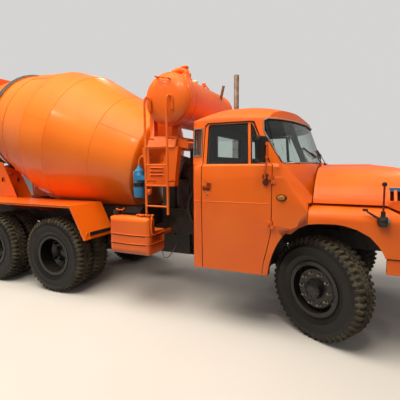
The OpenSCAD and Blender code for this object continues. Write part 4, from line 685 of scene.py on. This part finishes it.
# A sprung cushion: a crowned block, pulled in between its corners, with sewn channels across its length
def cushion(low, high, crown, channels, face_axis):
    part = bmesh.new()
    size, middle = high - low, (low + high) / 2
    side_axis = 2 - face_axis
    bmesh.ops.create_cube(part, size=1.0, matrix=Matrix.Translation(middle) @ Matrix.Diagonal(Vector((*size, 1))))
    long_edges = [e for e in part.edges if abs((e.verts[0].co - e.verts[1].co).y) > size.y * 0.9]
    bmesh.ops.subdivide_edges(part, edges=long_edges, cuts=channels * 4 - 1, use_grid_fill=True)
    other = [e for e in part.edges if abs((e.verts[0].co - e.verts[1].co).y) < 1e-5]
    bmesh.ops.subdivide_edges(part, edges=other, cuts=5, use_grid_fill=True)
    for vert in part.verts:
        place = [(vert.co[i] - middle[i]) / (size[i] / 2) for i in range(3)]
        across, along, height = place[side_axis], place[1], place[face_axis]
        if height > 0.9:
            sewn = abs(math.sin(math.pi * channels * (along + 1) / 2)) ** 0.45
            dome = max(0.0, (1 - abs(across) ** 3.0)) * (1 - abs(along) ** 10)
            vert.co[face_axis] += crown * dome * (0.55 + 0.45 * sewn) - crown * 0.7
        pull = 1 - 0.05 * (1 - along * along) * abs(across) ** 4
        vert.co[side_axis] = middle[side_axis] + (vert.co[side_axis] - middle[side_axis]) * pull
    return soften(part, [e for e in part.edges if e.calc_face_angle(0) > 1.0], 0.022, 3)


seat = piece("seat_cushion", [
    cushion(at(-1328, -1018, floor_height + 152), at(-862, 1018, floor_height + 296), 0.03, 8, 2)],
    "truck", "trim_black", leather, smooth=60)
back = piece("back_cushion", [
    (cushion(Vector((0.002, -1.018, 0.002)), Vector((0.108, 1.018, 0.418)), 0.025, 8, 0),
     set_at(-1325, 0, floor_height + 299) @ spin(-8, "Y"))], "truck", "trim_black", leather, smooth=60)
seat_box = piece("seat_box", [block(at(-1310, -1000, floor_height), at(-900, 1000, floor_height + 150), 0.006)],
                 "truck", "trim_black", crackle)

# The dash follows the cowl: the CAD's own dash, copied and merged, without the bench and the column
dash = merged("cab_interior")
bmesh.ops.delete(dash, geom=[v for v in dash.verts if v.co.x < at(-430, 0, 0).x or not 1.45 < v.co.z < 1.8],
                 context="VERTS")
bmesh.ops.delete(dash, geom=[v for v in dash.verts if abs(v.co.y - 0.48) < 0.05 and v.co.z < 1.5], context="VERTS")
dash_piece = piece("dashboard", [dash], "truck", "trim_black", crackle)
dials = [(set_at(-421, y, 1660) @ spin(-90, "Y"), radius) for y, radius in ((400, 52), (520, 52), (620, 30),
                                                                          (300, 30))]
piece("dial_rims", [(turned([(r - 8, 4), (r - 6, 9), (r, 9), (r + 3, 0), (r, -3)], 36, True), place)
                    for place, r in dials], "truck", "bare_steel", bright_trim)
piece("dial_faces", [(turned([(r - 6, -2), (r - 6, 4), (0, 5)], 36), place) for place, r in dials],
      "truck", "trim_black", satin_black)

# The steering wheel: a thin bakelite rim on three pairs of wire spokes, at the top of its leaning column
column_lean, column_length = 36, 464
wheel_place = set_at(-800, 480, 1720) @ spin(-column_lean, "Y")
rim = [(236 + 13 * math.cos(a), 14 + 13 * math.sin(a)) for a in [math.radians(30 * i) for i in range(12)]]
steering = [(turned(rim, 64, True), wheel_place)]
for spoke in (0, 120, 240):
    wires = [[Vector((0.03, y, 0.008)), Vector((0.12, y, 0.012)), Vector((0.23, y * 4 / 3, 0.014))]
             for y in (0.012, -0.012)]
    steering.append((tubes(wires, 0.005), wheel_place @ spin(spoke, "Z")))
lean = math.radians(column_lean)
steering += [(turned([(0, 0), (46, 2), (50, 10), (46, 20), (30, 26), (0, 29)], 32), wheel_place),
             rod(at(-800 + column_length * math.sin(lean), 480, 1720 - column_length * math.cos(lean)),
                 at(-800, 480, 1720), 0.024, 24)]
steering_wheel = piece("steering_wheel", steering, "truck", "trim_black", satin_black)
for stand_in in (seat, back, seat_box, dash_piece, steering_wheel):
    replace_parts(stand_in, "cab_interior")

# Bonnet and grille: one pressed lid with a hinge strip along its top and a blue lip over a slotted grille.
# The lid is orange; the lip's blue is a painted reflection of blue light on bright trim, and a dark orange-brown
# panel behind the slots is painted shade.
nose, grille_low, grille_high = 1085, 1478, 1608
painted_slot_shade = dusty_finish("painted_shade_behind_slots", "#6e2508", "#35160a", 0.6, 0.6, 6, 0.3)
# On the grille lip this blue is a painted reflection of blue light on bright trim; on the filter cans it is their own
# enamel
blue_enamel_and_lip_reflection = enamel("blue_enamel_and_painted_reflection", "#2f86bd", "#24719f", "#8fa3ad", rough=0.35)
pressed("grille", "bonnet", "grille_paint", orange)
lip_line = [(524, 1052), (580, 1052), (640, 1052), (720, 1048), (800, 1035), (880, 1010), (944, 985), (995, 948),
            (1035, 905), (1058, 860), (1074, 800), (1082, 730), (1087, 600), (1087, 0)]
path = []
for x, y in lip_line + [(x, -y) for x, y in reversed(lip_line[:-1])]:
    away = Vector((x - 700, y, 0)).normalized()
    spot = touch("grille", at(x, y, grille_high - 7) + away * 0.25, -away)
    if spot:
        path.append(spot + away * 0.002)
# Painted reflection: the lip's blue stands for blue light on bright trim
piece("grille_lip", [tubes([[spot + Vector((0, 0, drop)) for spot in path]], 0.0075)
                     for drop in (-0.021, -0.013, -0.005, 0.003)], "bonnet", "blue_paint", blue_enamel_and_lip_reflection)
# A dark orange-brown sheet behind the slots: painted shade in the grille's recess
backing = bmesh.new()
low, high, middle = (grille_low + 8) / 1000, (grille_high - 8) / 1000, at(600, 0, 0)
back_line = [Vector((p.x, p.y, 0)) for p in path]
inner = [p - (p - middle).normalized() * 0.034 for p in back_line]
for a, b in zip(inner, inner[1:]):
    backing.faces.new([backing.verts.new((p.x, p.y, z)) for p, z in ((a, low), (b, low), (b, high), (a, high))])
bmesh.ops.remove_doubles(backing, verts=backing.verts, dist=1e-4)
bmesh.ops.solidify(backing, geom=backing.faces[:], thickness=0.003)
piece("grille_backing_painted_shade", [backing], "bonnet", "grille_paint", painted_slot_shade)
crown = [touch("bonnet", at(x, 0, 2400), Vector((0, 0, -1))) for x in range(-140, 1030, 60)]
piece("bonnet_ridge", [tubes([[spot + Vector((0, 0, 0.001)) for spot in crown if spot]], 0.009)],
      "bonnet", "orange_paint", orange)

# Wings: deep pressed wings joined by the nose panel, with a smooth edge round each wheel arch,
# which is cut on the pressed copies of the wings and of the cab behind them
arch_line = [(-564, 560), (-564, 684), (-552, 780), (-524, 880), (-490, 970), (-446, 1058), (-392, 1128),
             (-322, 1190), (-250, 1224), (-182, 1243), (-100, 1255), (-29, 1260), (60, 1262), (119, 1261),
             (210, 1243), (306, 1206), (360, 1172), (406, 1134), (446, 1095), (478, 1050), (500, 1010),
             (512, 975), (512, 560)]
for _ in range(2):
    arch_line = [arch_line[0]] + [p for a, b in zip(arch_line, arch_line[1:]) for p in
                                  (((a[0] * 3 + b[0]) / 4, (a[1] * 3 + b[1]) / 4),
                                   ((a[0] + b[0] * 3) / 4, (a[1] + b[1] * 3) / 4))] + [arch_line[-1]]
cutters = bmesh.new()
for side in (-1, 1):
    opening = drawn([at(x, side * 1010, z) for x, z in arch_line], (0, side * 0.28, 0))
    bmesh.ops.recalc_face_normals(opening, faces=opening.faces)
    opening_data = bpy.data.meshes.new("opening")
    opening.to_mesh(opening_data)
    cutters.from_mesh(opening_data)
    opening.free()
    bpy.data.meshes.remove(opening_data)
cutter_data = bpy.data.meshes.new("arch_opening")
cutters.to_mesh(cutter_data)
cutters.free()
cutter = link_object("arch_opening", cutter_data)
for name in ("pressed_cab_shell", "pressed_wings"):
    panel = bpy.data.objects[name]
    cut = panel.modifiers.new("arch", "BOOLEAN")
    cut.operation, cut.object, cut.solver = "DIFFERENCE", cutter, "EXACT"
    panel.modifiers.move(len(panel.modifiers) - 1, 0)
    shape = bpy.data.meshes.new_from_object(panel.evaluated_get(bpy.context.evaluated_depsgraph_get()))
    panel.modifiers.clear()
    panel.data = shape
    shape.shade_smooth()
    shape.set_sharp_from_angle(angle=math.radians(24))
    even_normals(panel)
bpy.data.objects.remove(cutter)

# Headlamps: domed clear lenses with moulded flutes in bright rims, over silvered bowls.
# Fluted glass: nearly clear, and its flutes break up what is behind it
lens_glass, lens_tree, lens_shader = new_finish("fluted_lens_glass", Transmission_Weight=0.75, IOR=1.45,
                                                Roughness=0.08, Base_Color=hex_colour("#e9ecea"))
flutes = add(lens_tree, "TexWave", {"bands_direction": "Y"},
             {"Vector": add(lens_tree, "TexCoord").outputs["Object"], "Scale": 26.0})
fluted = add(lens_tree, "Bump", None, {"Height": flutes.outputs["Fac"], "Strength": 0.6, "Distance": 0.003})
lens_tree.links.new(fluted.outputs["Normal"], lens_shader.inputs["Normal"])
dress(lens_glass, "headlamps")
lamp_rims = []
for side in (-1, 1):
    forwards = set_at(nose, side * 880, 1190) @ spin(90, "Y")
    lamp_rims += [(turned([(98, -4), (116, -4), (119, 3), (115, 12), (106, 15), (99, 11)], 64, True), forwards),
                  (turned([(5, 10), (5, 18), (0, 19)], 12), *circle_of(3, 0.108, forwards, 30))]
piece("headlamp_rims", lamp_rims, "truck", "bare_steel", bright_trim)

# Side lamps on the wings: black moulded housings with a clear front lens and a steel stay,
# each with a width marker, a painted whip with a black ball at its tip
dress(satin_black, "side_lamps")
clear_lens, whips = [], []
for side in (-1, 1):
    clear_lens.append((turned([(38, 0), (36, 8), (27, 15), (13, 18), (0, 19)], 32), Matrix.Translation(
        at(474, side * 1238, 1318) + Vector((0.040, side * 0.004, 0))) @ spin(90, "Y")))
    whips += [rod(at(474, side * 1240, 1386), at(474, side * 1240, 1632), 0.0085, 12),
              tubes([[at(446, side * 1236, 1336), at(400, side * 1228, 1364), at(345, side * 1222, 1404)]], 0.008)]
piece("side_lamp_clear", clear_lens, "truck", "lamp_glass", lens_glass)
piece("side_lamp_whips", whips, "truck", "orange_paint", dark_red_paint_and_shade)

# Step irons: grey painted brackets behind each front wheel, bent from bar and bolted to the frame,
# with a small flat tread under the door. The grey paint is dull and dusty
steps_grey = dusty_finish("grey_bracket_paint", "#6f6a66", "#8b8174", 0.4, 0.55, 6, 0.3)
irons = []
for side in (-1, 1):
    y = side * 1120
    irons += [block(at(-640, y - 60, 726), at(-560, y + 60, 742)),
              block(at(-640, y + side * 42, 700), at(-560, y + side * 60, 800)),
              tubes([[at(-600, y, 734), at(-600, y - side * 120, 790), at(-640, side * 900, 880)]], 0.016)]
piece("step_irons", irons, "truck", "chassis_paint", steps_grey)

# Fuel tank: pressed steel shells welded on two flanged seams, in the body's orange, on brackets and straps.
# It has a screw cap with an orange lever, and a crumpled orange strap tied behind it.
tank_out, tank_back, tank_front = -1205, -2620, -2015
pressed("fuel_tank", "truck", "orange_paint", orange)


# A line round the tank's outer side, a distance inside its face
def round_tank(z, inset):
    return [at(tank_back - 2, tank_out + 62 + inset, z), at(tank_back + 16, tank_out + 18 + inset, z),
            at(tank_back + 60, tank_out - 2 + inset, z + 3), at(-2320, tank_out - 2 + inset, z - 3),
            at(tank_front - 60, tank_out - 2 + inset, z), at(tank_front - 16, tank_out + 18 + inset, z)]


piece("tank_seams", [
    tubes([[at(tank_back + 30, -930, z), at(tank_back - 2, -960, z), *round_tank(z, 0),
            at(tank_front + 2, tank_out + 62, z), at(tank_front + 2, -850, z)]], 0.0065)
    for z in (970, 858)], "truck", "orange_paint", orange)
# Black lines laid on the tank's face just under each seam bead: painted shadow
seam_shadow_lines = []
for z in (960, 848):
    line = round_tank(z, 1)
    line[0].y += 0.001
    seam_shadow_lines.append(tubes([[*line, at(tank_front + 1, tank_out + 64, z), at(tank_front + 1, -860, z)]], 0.0048))
piece("tank_cap", [*seam_shadow_lines, (turned([(33, -40), (46, -40), (48, -30), (48, 0), (40, 8), (0, 10)], 36),
                              set_at(-2560, -1102, 1250))], "truck", "mirror_black", satin_black)
piece("tank_cap_lever", [
    block(at(-2566, -1114, 1256), at(-2470, -1090, 1268)),
    tubes([[at(-2478, -1102, 1262), at(-2462, -1102, 1272), at(-2448, -1106, 1286)]], 0.009),
    (turned([(0, 0), (16, 2), (18, 8), (14, 16), (0, 19)], 20), set_at(-2560, -1102, 1262))],
      "truck", "orange_paint", orange)
knot = []
for step in range(26):
    turn = step * 1.9
    knot.append(at(-2230 + step * 9 + 22 * math.sin(turn), -1130 + 34 * math.cos(turn * 0.7),
                   1214 + 15 * math.sin(turn * 1.3) + step * 0.2))
tail = [at(-2010, -1130, 1210), at(-1996, -1170, 1150), at(-1998, -1196, 1060), at(-1990, -1160, 985)]
piece("tied_strap", [tubes([knot], 0.009, smooth=True), tubes([tail], 0.008, smooth=True)],
      "truck", "orange_paint", orange)
piece("pale_fuel_line", [tubes([[
    at(-2005, -900, 760), at(-1990, -930, 680), at(-1950, -950, 640), at(-1900, -930, 650),
    at(-1860, -880, 720), at(-1850, -800, 800)]], 0.006, smooth=True)], "truck", "bare_steel", zinc)

# Battery box with clips, and the air cleaner with its cap and hoses, in a black that hardly shows its dust
pitch_black = dusty_finish("machinery_black", "#0d0c0c", "#2b2622", 0.25, 0.5, 6, 0.3, lying=0.1)
dress(pitch_black, "battery_box", "air_cleaner")
clips = []
for x in (-2460, -2330):
    clips += [block(at(x - 14, -1022, 1120), at(x + 14, -1012, 1190), 0.003),
              tubes([[at(x - 8, -1026, 1186), at(x - 8, -1028, 1206), at(x + 8, -1028, 1206),
                      at(x + 8, -1026, 1186)]], 0.003)]
piece("battery_clips", clips, "truck", "chassis_paint", pitch_black)
hose_lines = [
    [at(-1600, -750, 1500), at(-1610, -830, 1480), at(-1640, -880, 1380), at(-1640, -880, 1240),
     at(-1600, -800, 1120)],
    [at(-1560, -700, 1180), at(-1500, -780, 1100), at(-1480, -800, 960), at(-1500, -700, 860)],
    [at(-1700, -560, 1640), at(-1760, -620, 1600), at(-1780, -640, 1480), at(-1740, -560, 1360),
     at(-1680, -420, 1280)]]
piece("machinery_hoses", [
    (turned([(128, -4), (136, 0), (136, 14), (128, 18)], 40, True),
     set_at(-1600, -620, 1300), set_at(-1600, -620, 1740)),
    (turned([(0, 0), (88, 2), (104, 12), (108, 34), (100, 48), (60, 58), (0, 60)], 40), set_at(-1600, -620, 1992)),
    tubes(hose_lines, 0.026, smooth=True),
    *[tubes([[at(-1500, -730, z), at(-1600, -766, z), at(-1700, -730, z)]], 0.007) for z in (1400, 1560)],
    block(at(-1760, -640, 1110), at(-1480, -460, 1200), 0.012),
    rod(at(-1720, -560, 1200), at(-1720, -560, 1330), 0.05, 24)], "truck", "chassis_paint", pitch_black)

# Exhaust: a silencer and stack of aluminised steel, gone from silver to tan with heat, held by clamps
stack_x, stack_y = -1505, 600
aluminised, steel_tree, steel_shader = new_finish("aluminised_steel", Metallic=0.75)
steel_cloud = add(steel_tree, "TexNoise", None, {"Vector": add(steel_tree, "TexCoord").outputs["Object"],
                                                 "Scale": 9.0, "Detail": 7.0})
steel_tone = add(steel_tree, "ValToRGB", None, {0: steel_cloud.outputs["Fac"]})
for element, position, colour in zip(steel_tone.color_ramp.elements, (0.35, 0.7), ("#cdbfae", "#8f7a68")):
    element.position, element.color = position, hex_colour(colour)
steel_tree.links.new(steel_tone.outputs["Color"], steel_shader.inputs["Base Color"])
steel_dull = add(steel_tree, "MapRange", None, {"Value": steel_cloud.outputs["Fac"], "To Min": 0.3, "To Max": 0.6})
steel_tree.links.new(steel_dull.outputs[0], steel_shader.inputs["Roughness"])
pressed("exhaust_stack", "truck", "bare_steel", aluminised)
clamps = []
for z, radius in ((1290, 62), (1420, 64), (2080, 64), (2210, 62), (2700, 42)):
    clamps += [(turned([(radius, -10), (radius + 4, -8), (radius + 4, 8), (radius, 10)], 40, True),
                set_at(stack_x, stack_y, z)),
               rod(at(stack_x + radius, stack_y - 15, z), at(stack_x + radius, stack_y + 25, z), 0.006, 8)]
piece("exhaust_clamps", clamps, "truck", "bare_steel", zinc)

# Filter pair: two blue enamelled cans on a common head, with a black clamp band and a pointed top,
# fed by a painted pipe from the tank stand
filter_place = set_at(-2376, -850, 0)
pressed("filter_pair", "truck", "blue_paint", blue_enamel_and_lip_reflection)
piece("filter_band", [
    (turned([(66, 1552), (84, 1554), (84, 1584), (82, 1592), (66, 1596)], 40, True), filter_place),
    *[rod(at(-2300, -880, z), at(-2276, -900, z), 0.009, 6) for z in (1566, 1582)]],
      "truck", "mirror_black", satin_black)
piece("filter_point", [(turned([(60, 1756), (52, 1772), (28, 1800), (16, 1834), (12, 1850), (0, 1852)], 32),
                        filter_place)], "truck", "blue_paint", blue_enamel_and_lip_reflection)
piece("filter_feed", [tubes([[at(-2376, -850, 1846), at(-2374, -850, 1900), at(-2340, -860, 1945),
                              at(-2250, -880, 1965), at(-2160, -895, 1970)]], 0.017, smooth=True)],
      "truck", "orange_paint", orange)

# Mixer frame: welded channel rails in black, with the drum's rear stand of orange plates.
# Each rear plate has a round sight hole with a rolled edge, and a black disc in it is painted shade.
for face in pressed("mixer_frame", "truck", "orange_paint", orange, chassis_black).data.polygons:
    if face.center.z < 1.225 and face.center.x > at(-4700, 0, 0).x:
        face.material_index = 1
rings, hole_shade_discs = [], []
for side in (-1, 1):
    spot = touch("mixer_frame", at(-5400, side * 1400, 1591), Vector((0, -side, 0)))
    hole = Matrix.Translation(Vector((at(-5431, 0, 0).x, spot.y, 1.591))) @ outwards(side)
    rings.append((turned([(45, -2), (52, 0), (52, 5), (45, 6)], 40, True), hole))
    hole_shade_discs.append((turned([(0, 1), (46, 1), (46, 3), (0, 3.5)], 40), hole))
piece("sight_rings", rings, "truck", "orange_paint", orange)
# Black discs in the sight holes: painted shade of the dark inside
piece("sight_hole_painted_shade", hole_shade_discs, "truck", "mirror_black", satin_black)

# Drum: rolled cones and rings of steel plate welded round and along, in a lighter orange enamel,
# with a bolted hatch. Steel track and rollers are worn bright where they roll and greased at their sides.
drum_orange = enamel("drum_enamel", "#f9801a", "#f37412", "#d8b08c", rough=0.36, coat=0.45)
for node in ("drum_front", "drum_middle", "drum_rear"):
    pressed(node, "drum", "drum_paint", drum_orange)
profile = [(-956, 765), (374, 1097), (850, 1097), (1811, 877), (2700, 560)]


# The drum's radius at a place along it
def drum_radius(along):
    for (a, low), (b, high) in zip(profile, profile[1:]):
        if a <= along <= b:
            return low + (high - low) * (along - a) / (b - a)


welds = []
for along in (-330, 374, 850, 1420, 2250):
    radius = drum_radius(along)
    welds.append((turned([(radius - 3, along - 9), (radius + 3.5, along - 3), (radius + 3.5, along + 3),
                          (radius - 3, along + 9)], 120, True), on_drum(0)))
for angle, start, end in ((-62, -940, -330), (-20, -330, 374), (-75, 374, 850), (-35, 850, 1420), (10, 1420, 1760),
                          (118, -940, -330), (160, -330, 374), (105, 374, 850), (145, 850, 1420)):
    welds.append(tubes([[on_drum(0) @ spin(angle, "Z") @ Vector(((drum_radius(s) - 1) / 1000, 0, s / 1000))
                         for s in range(start, end + 1, 60)]], 0.0045))
piece("drum_welds", welds, "drum", "drum_paint", drum_orange)
lid = on_drum(612) @ spin(200, "Z") @ Matrix.Translation((1.097, 0, 0)) @ spin(90, "Y")
piece("drum_hatch", [
    (turned([(0, 14), (150, 12), (170, 10), (196, 8), (200, 2), (200, -14)], 48), lid),
    (rod(Vector((0, 0, 0.006)), Vector((0, 0, 0.026)), 0.012, 6), *circle_of(8, 0.178, lid))],
      "drum", "drum_paint", drum_orange)
worn_steel = toned("worn_rolling_steel", "#d6cfc6", "#7c736a", 12.0, 6.0, dull=(0.22, 0.5), Metallic=0.9)[0]
for node, body in (("roller_track", "drum"), ("roller_left", "roller_left"), ("roller_right", "roller_right")):
    pressed(node, body, "bare_steel", worn_steel)
track_along, flange_radius = 1811, 892
piece("track_flanges", [
    (turned([(drum_radius(along) - 4, along), (flange_radius, along + 1), (flange_radius, along + 7),
             (drum_radius(along + 8) - 4, along + 8)], 96, True), on_drum(0))
    for along in (track_along - 58, track_along + 50)], "drum", "drum_paint", drum_orange)

# Water tank: a rolled shell with dished ends welded in, held by two steel bands, with a filler lid,
# a fitting and a cock on top, and a sheet-metal elbow that is dented and creased
pressed("water_tank", "truck", "orange_paint", orange)
water_x, water_z, water_radius = -1805, 2612, 305
along_tank = set_at(water_x, 0, water_z) @ spin(90, "X")
bands = [(turned([(water_radius - inner, -y - half), (water_radius + 4, -y - top), (water_radius + 4, -y + top),
                  (water_radius - inner, -y + half)], 96, True), along_tank)
         for y, inner, half, top in ((-1044, 4, 6, 2), (395, 4, 6, 2), (-880, 1, 21, 20), (385, 1, 21, 20),
                                     (250, 1, 21, 20))]
piece("tank_bands", bands, "truck", "orange_paint", orange)
elbow = tubes([[at(-2096, -640, 2880), at(-2060, -632, 2958), at(-2000, -622, 3010), at(-1930, -612, 3040),
                at(-1860, -604, 3052), at(-1806, -600, 3044), at(-1786, -600, 3016), at(-1785, -600, 2980)]],
              0.045, facets=7, smooth=True)
bmesh.ops.recalc_face_normals(elbow, faces=elbow.faces)
bmesh.ops.subdivide_edges(elbow, edges=[e for e in elbow.edges if e.calc_length() > 0.02], cuts=2,
                          use_grid_fill=True)
for vert in elbow.verts:
    p = vert.co
    dent = math.sin(p.x * 70 + 1.3 * math.sin(p.y * 90)) * math.cos(p.y * 50 + p.z * 60)
    vert.co += Vector((0.25, 0.35, 1)).normalized() * 0.005 * dent
piece("creased_elbow", [elbow, block(at(-1846, -640, 3070), at(-1768, -560, 3100), 0.008)],
      "truck", "orange_paint", orange)
# Yellowed cream plastic, on the cock's knob
cream = toned("cream_plastic", "#efe2b6", "#d3c391", 30.0, Roughness=0.4)[0]
piece("cock_knob", [
    (turned([(0, 0), (30, 2), (38, 14), (38, 34), (28, 48), (10, 54), (0, 55)], 32), set_at(water_x, -300, 2936)),
    rod(at(water_x, -300, 2905), at(water_x, -300, 2940), 0.012, 12)], "truck", "trim_black", cream)
piece("tank_fitting", [
    rod(at(water_x, 0, 2900), at(water_x, 0, 2965), 0.02, 6),
    rod(at(water_x, 0, 2960), at(water_x, 0, 3010), 0.03, 24),
    tubes([[at(water_x, 0, 2990), at(water_x, 60, 3000), at(-1800, 200, 2960), at(-1790, 320, 2900)]], 0.009,
          smooth=True)], "truck", "orange_paint", orange)
# Flat brown primer, worn to a dusty tan, on a bar left unpainted
brown = dusty_finish("brown_primer", "#5a3a24", "#8a7458", 0.4, 0.6, 5, 0.3)
piece("brown_flat_bar", [
    (block(Vector((-0.02, -0.004, 0)), Vector((0.02, 0.004, 0.40)), 0.002),
     set_at(-1590, 0, 2560) @ spin(13.5, "Y")),
    block(at(-1640, -14, 2540), at(-1560, 14, 2600))], "truck", "trim_black", brown)

# Tank stand: folded orange sheet on black posts, with a bracket plate, a switch box and the welded ladder
for face in pressed("tank_stand", "truck", "orange_paint", orange, pitch_black).data.polygons:
    if face.center.z < 1.572 or (face.center.y > at(0, -880, 0).y and face.center.z < 2.03):
        face.material_index = 1
bracket = drawn([at(x, -930, z) for x, z in ((-1764, 2180), (-1600, 2106), (-1610, 2030), (-1700, 2046),
                                             (-1764, 2060))], (0, 0.012, 0))
piece("stand_bracket", [
    soften(bracket, bracket.edges[:], 0.003), block(at(-1760, -930, 2130), at(-1610, -890, 2142), 0.003),
    tubes([[at(-1604, -930, 2100), at(-1500, -900, 2090), at(-1440, -860, 2060)]], 0.014)],
      "truck", "orange_paint", orange)
piece("switch_box", [block(at(-2150, -1030, 1462), at(-2098, -975, 1530), 0.006),
                     block(at(-2136, -1040, 1480), at(-2112, -1028, 1512), 0.003),
                     block(at(-2126, -985, 1520), at(-2118, -960, 1590), 0.002)], "truck", "orange_paint", orange)
pressed("ladder", "truck", "orange_paint", orange)

# Loading hopper, funnel and chute: folded and rolled sheet, open-topped, with wired edges, in the body's orange,
# on a black swivel
for node, body in (("hopper", "truck"), ("discharge_funnel", "truck"), ("chute", "chute")):
    pressed(node, body, "orange_paint", orange)
dress(chassis_black, "chute_swivel")

# Rear mudguards: folded sheet with a turned edge along the outer side, over each pair of wheels.
# The front flap carries a slotted black bar and an amber reflector, and rubber flaps hang behind.
pressed("rear_mudguards", "truck", "orange_paint", orange)
edges, bars, reflectors, flaps = [], [], [], []
for side in (-1, 1):
    y, flap_y = side * 1241, side * 934
    edges.append(tubes([[at(-2999, y, 838), at(-3233, y, 1290), at(-5466, y, 1290), at(-5699, y, 838)]], 0.011))
    bars += [block(at(-3012, side * 700, 880), at(-2986, side * 1130, 934), 0.006),
             *[block(at(-2987, side * (730 + slot * 66), 900), at(-2980, side * (770 + slot * 66), 916), 0.002)
               for slot in range(6)]]
    reflectors.append((turned([(0, 9), (20, 8), (26, 4), (27, -8)], 32), set_at(-3000, side * 1186, 912)
                       @ spin(90, "Y")))
    flaps += [block(at(-5712, flap_y - 300, 480), at(-5702, flap_y + 300, 868), 0.003),
              block(at(-5706, flap_y - 305, 846), at(-5690, flap_y + 305, 876), 0.003)]
piece("mudguard_edges", edges, "truck", "orange_paint", orange)
piece("flap_bars", bars, "truck", "mirror_black", satin_black)
piece("flap_reflectors", reflectors, "truck", "lamp_glass", amber)
piece("rubber_mud_flaps", flaps, "truck", "trim_black", black_rubber)

# Rear lamps: black boxes with red, amber and clear lenses, and a blank white plate between them.
# Red lens: ribbed plastic that lets a little light through
dress(satin_black, "rear_lamps")
red_lens = toned("red_lens", "#8e1410", "#c4261c", 30.0, ribs="Z", Transmission_Weight=0.3, IOR=1.49,
                 Roughness=0.15)[0]
for name, finish, low, high in (("red", red_lens, 812, 900), ("amber", amber, 908, 986),
                                ("clear", lens_glass, 994, 1068)):
    spans = [sorted((side * low, side * high)) for side in (-1, 1)]
    piece("rear_lens_" + name, [block(at(-6198, a, 872), at(-6184, b, 978), 0.006, 3) for a, b in spans],
          "truck", "lamp_glass", finish)
# White enamel, a little grey with dust
plate_white = dusty_finish("plate_enamel", "#d9d7d0", "#a8a299", 0.3, 0.35, 5, 0.05)
piece("blank_plate", [block(at(-6136, -260, 868), at(-6128, 260, 978))], "truck", "trim_black", plate_white)

# Studio: a plain pale floor, a soft even sky, a large warm light above and softer ones before and behind.
# What the eye, a reflection or a window sees of the floor is pale; the light that it throws back is darker
floor_mesh = bmesh.new()
bmesh.ops.create_grid(floor_mesh, x_segments=1, y_segments=1, size=60)
floor_data = bpy.data.meshes.new("floor")
floor_mesh.to_mesh(floor_data)
floor_mesh.free()
floor = link_object("floor", floor_data)
floor_finish, floor_tree, floor_shader = toned("pale_floor", "#c9c7c3", "#d2d0cd", 0.6, Roughness=0.85)
floor_tone = floor_shader.inputs["Base Color"].links[0].from_socket


# Whether the light path comes from one of the given kinds of ray
def seen_by(tree, *rays):
    path = add(tree, "LightPath")
    share = path.outputs[rays[0]]
    for ray in rays[1:]:
        share = add(tree, "Math", {"operation": "MAXIMUM"}, {0: share, 1: path.outputs[ray]}).outputs[0]
    return share


floor_bounce = add(floor_tree, "Mix", {"data_type": "RGBA"}, {
    0: seen_by(floor_tree, "Is Camera Ray", "Is Glossy Ray", "Is Transmission Ray"),
    6: hex_colour("#57524b"), 7: floor_tone})
floor_tree.links.new(floor_bounce.outputs[2], floor_shader.inputs["Base Color"])
floor_data.materials.append(floor_finish)

# The sky is a pale wall to the eye and through glass, and gives a weaker light
sky = bpy.data.worlds.new("studio")
bpy.context.scene.world = sky
sky.use_nodes = True
sky_background = sky.node_tree.nodes["Background"]
sky_background.inputs["Color"].default_value = hex_colour("#e6e4e2")
sky_strength = add(sky.node_tree, "MapRange", None, {
    "Value": seen_by(sky.node_tree, "Is Camera Ray", "Is Transmission Ray"), "To Min": 0.32, "To Max": 0.85})
sky.node_tree.links.new(sky_strength.outputs["Result"], sky_background.inputs["Strength"])


def area_light(name, place, target, size, power, tint, shows=False):
    data = bpy.data.lights.new(name, "AREA")
    data.shape = "RECTANGLE"
    data.size, data.size_y = size
    data.energy = power
    data.color = hex_colour(tint)[:3]
    made = link_object(name, data)
    made.location = place
    made.rotation_euler = (Vector(target) - Vector(place)).to_track_quat("-Z", "Y").to_euler()
    made.visible_glossy = shows


area_light("ceiling", (-1.0, -3.0, 9.0), (-0.5, 0.0, 1.5), (10.0, 6.0), 1400, "#fff3e2")
area_light("front_fill", (6.5, -9.0, 4.5), (0.5, 0.0, 1.3), (5.0, 3.0), 70, "#fff6ea")
area_light("rear_fill", (-7.0, 7.0, 5.0), (-1.0, 0.0, 1.5), (5.0, 4.0), 260, "#fbf7f2")
for number, lamp in enumerate(((1.4, -6.0, 6.5), (3.4, -5.0, 7.5), (-2.6, -6.5, 7.0), (4.5, 3.0, 7.0),
                               (-4.0, 4.5, 7.0))):
    area_light("hall_lamp_%d" % number, lamp, (0.5, 0.0, 1.5), (0.35, 0.35), 38, "#fff0da", shows=True)

# Camera where the photograph was taken from, worked out from the photograph's own perspective
camera_yaw, camera_pitch, camera_roll = 0.42605, -0.10281, -0.00523
focal_pixels, photo_pixels, sensor_mm = 335.0, 400.0, 36.0
forward = Vector((-math.sin(camera_yaw) * math.cos(camera_pitch),
                  math.cos(camera_yaw) * math.cos(camera_pitch), math.sin(camera_pitch)))
level_right = Vector((math.cos(camera_yaw), math.sin(camera_yaw), 0.0))
level_up = level_right.cross(forward)
right = level_right * math.cos(camera_roll) + level_up * math.sin(camera_roll)
up = level_up * math.cos(camera_roll) - level_right * math.sin(camera_roll)
camera_data = bpy.data.cameras.new("camera")
camera_data.sensor_width = sensor_mm
camera_data.lens = focal_pixels / photo_pixels * sensor_mm
camera = link_object("camera", camera_data)
camera.matrix_world = set_at(210.4, -4594.5, 1827.2) @ Matrix((right, up, -forward)).transposed().to_4x4()
bpy.context.scene.camera = camera

bpy.context.scene.view_settings.view_transform = "Standard"
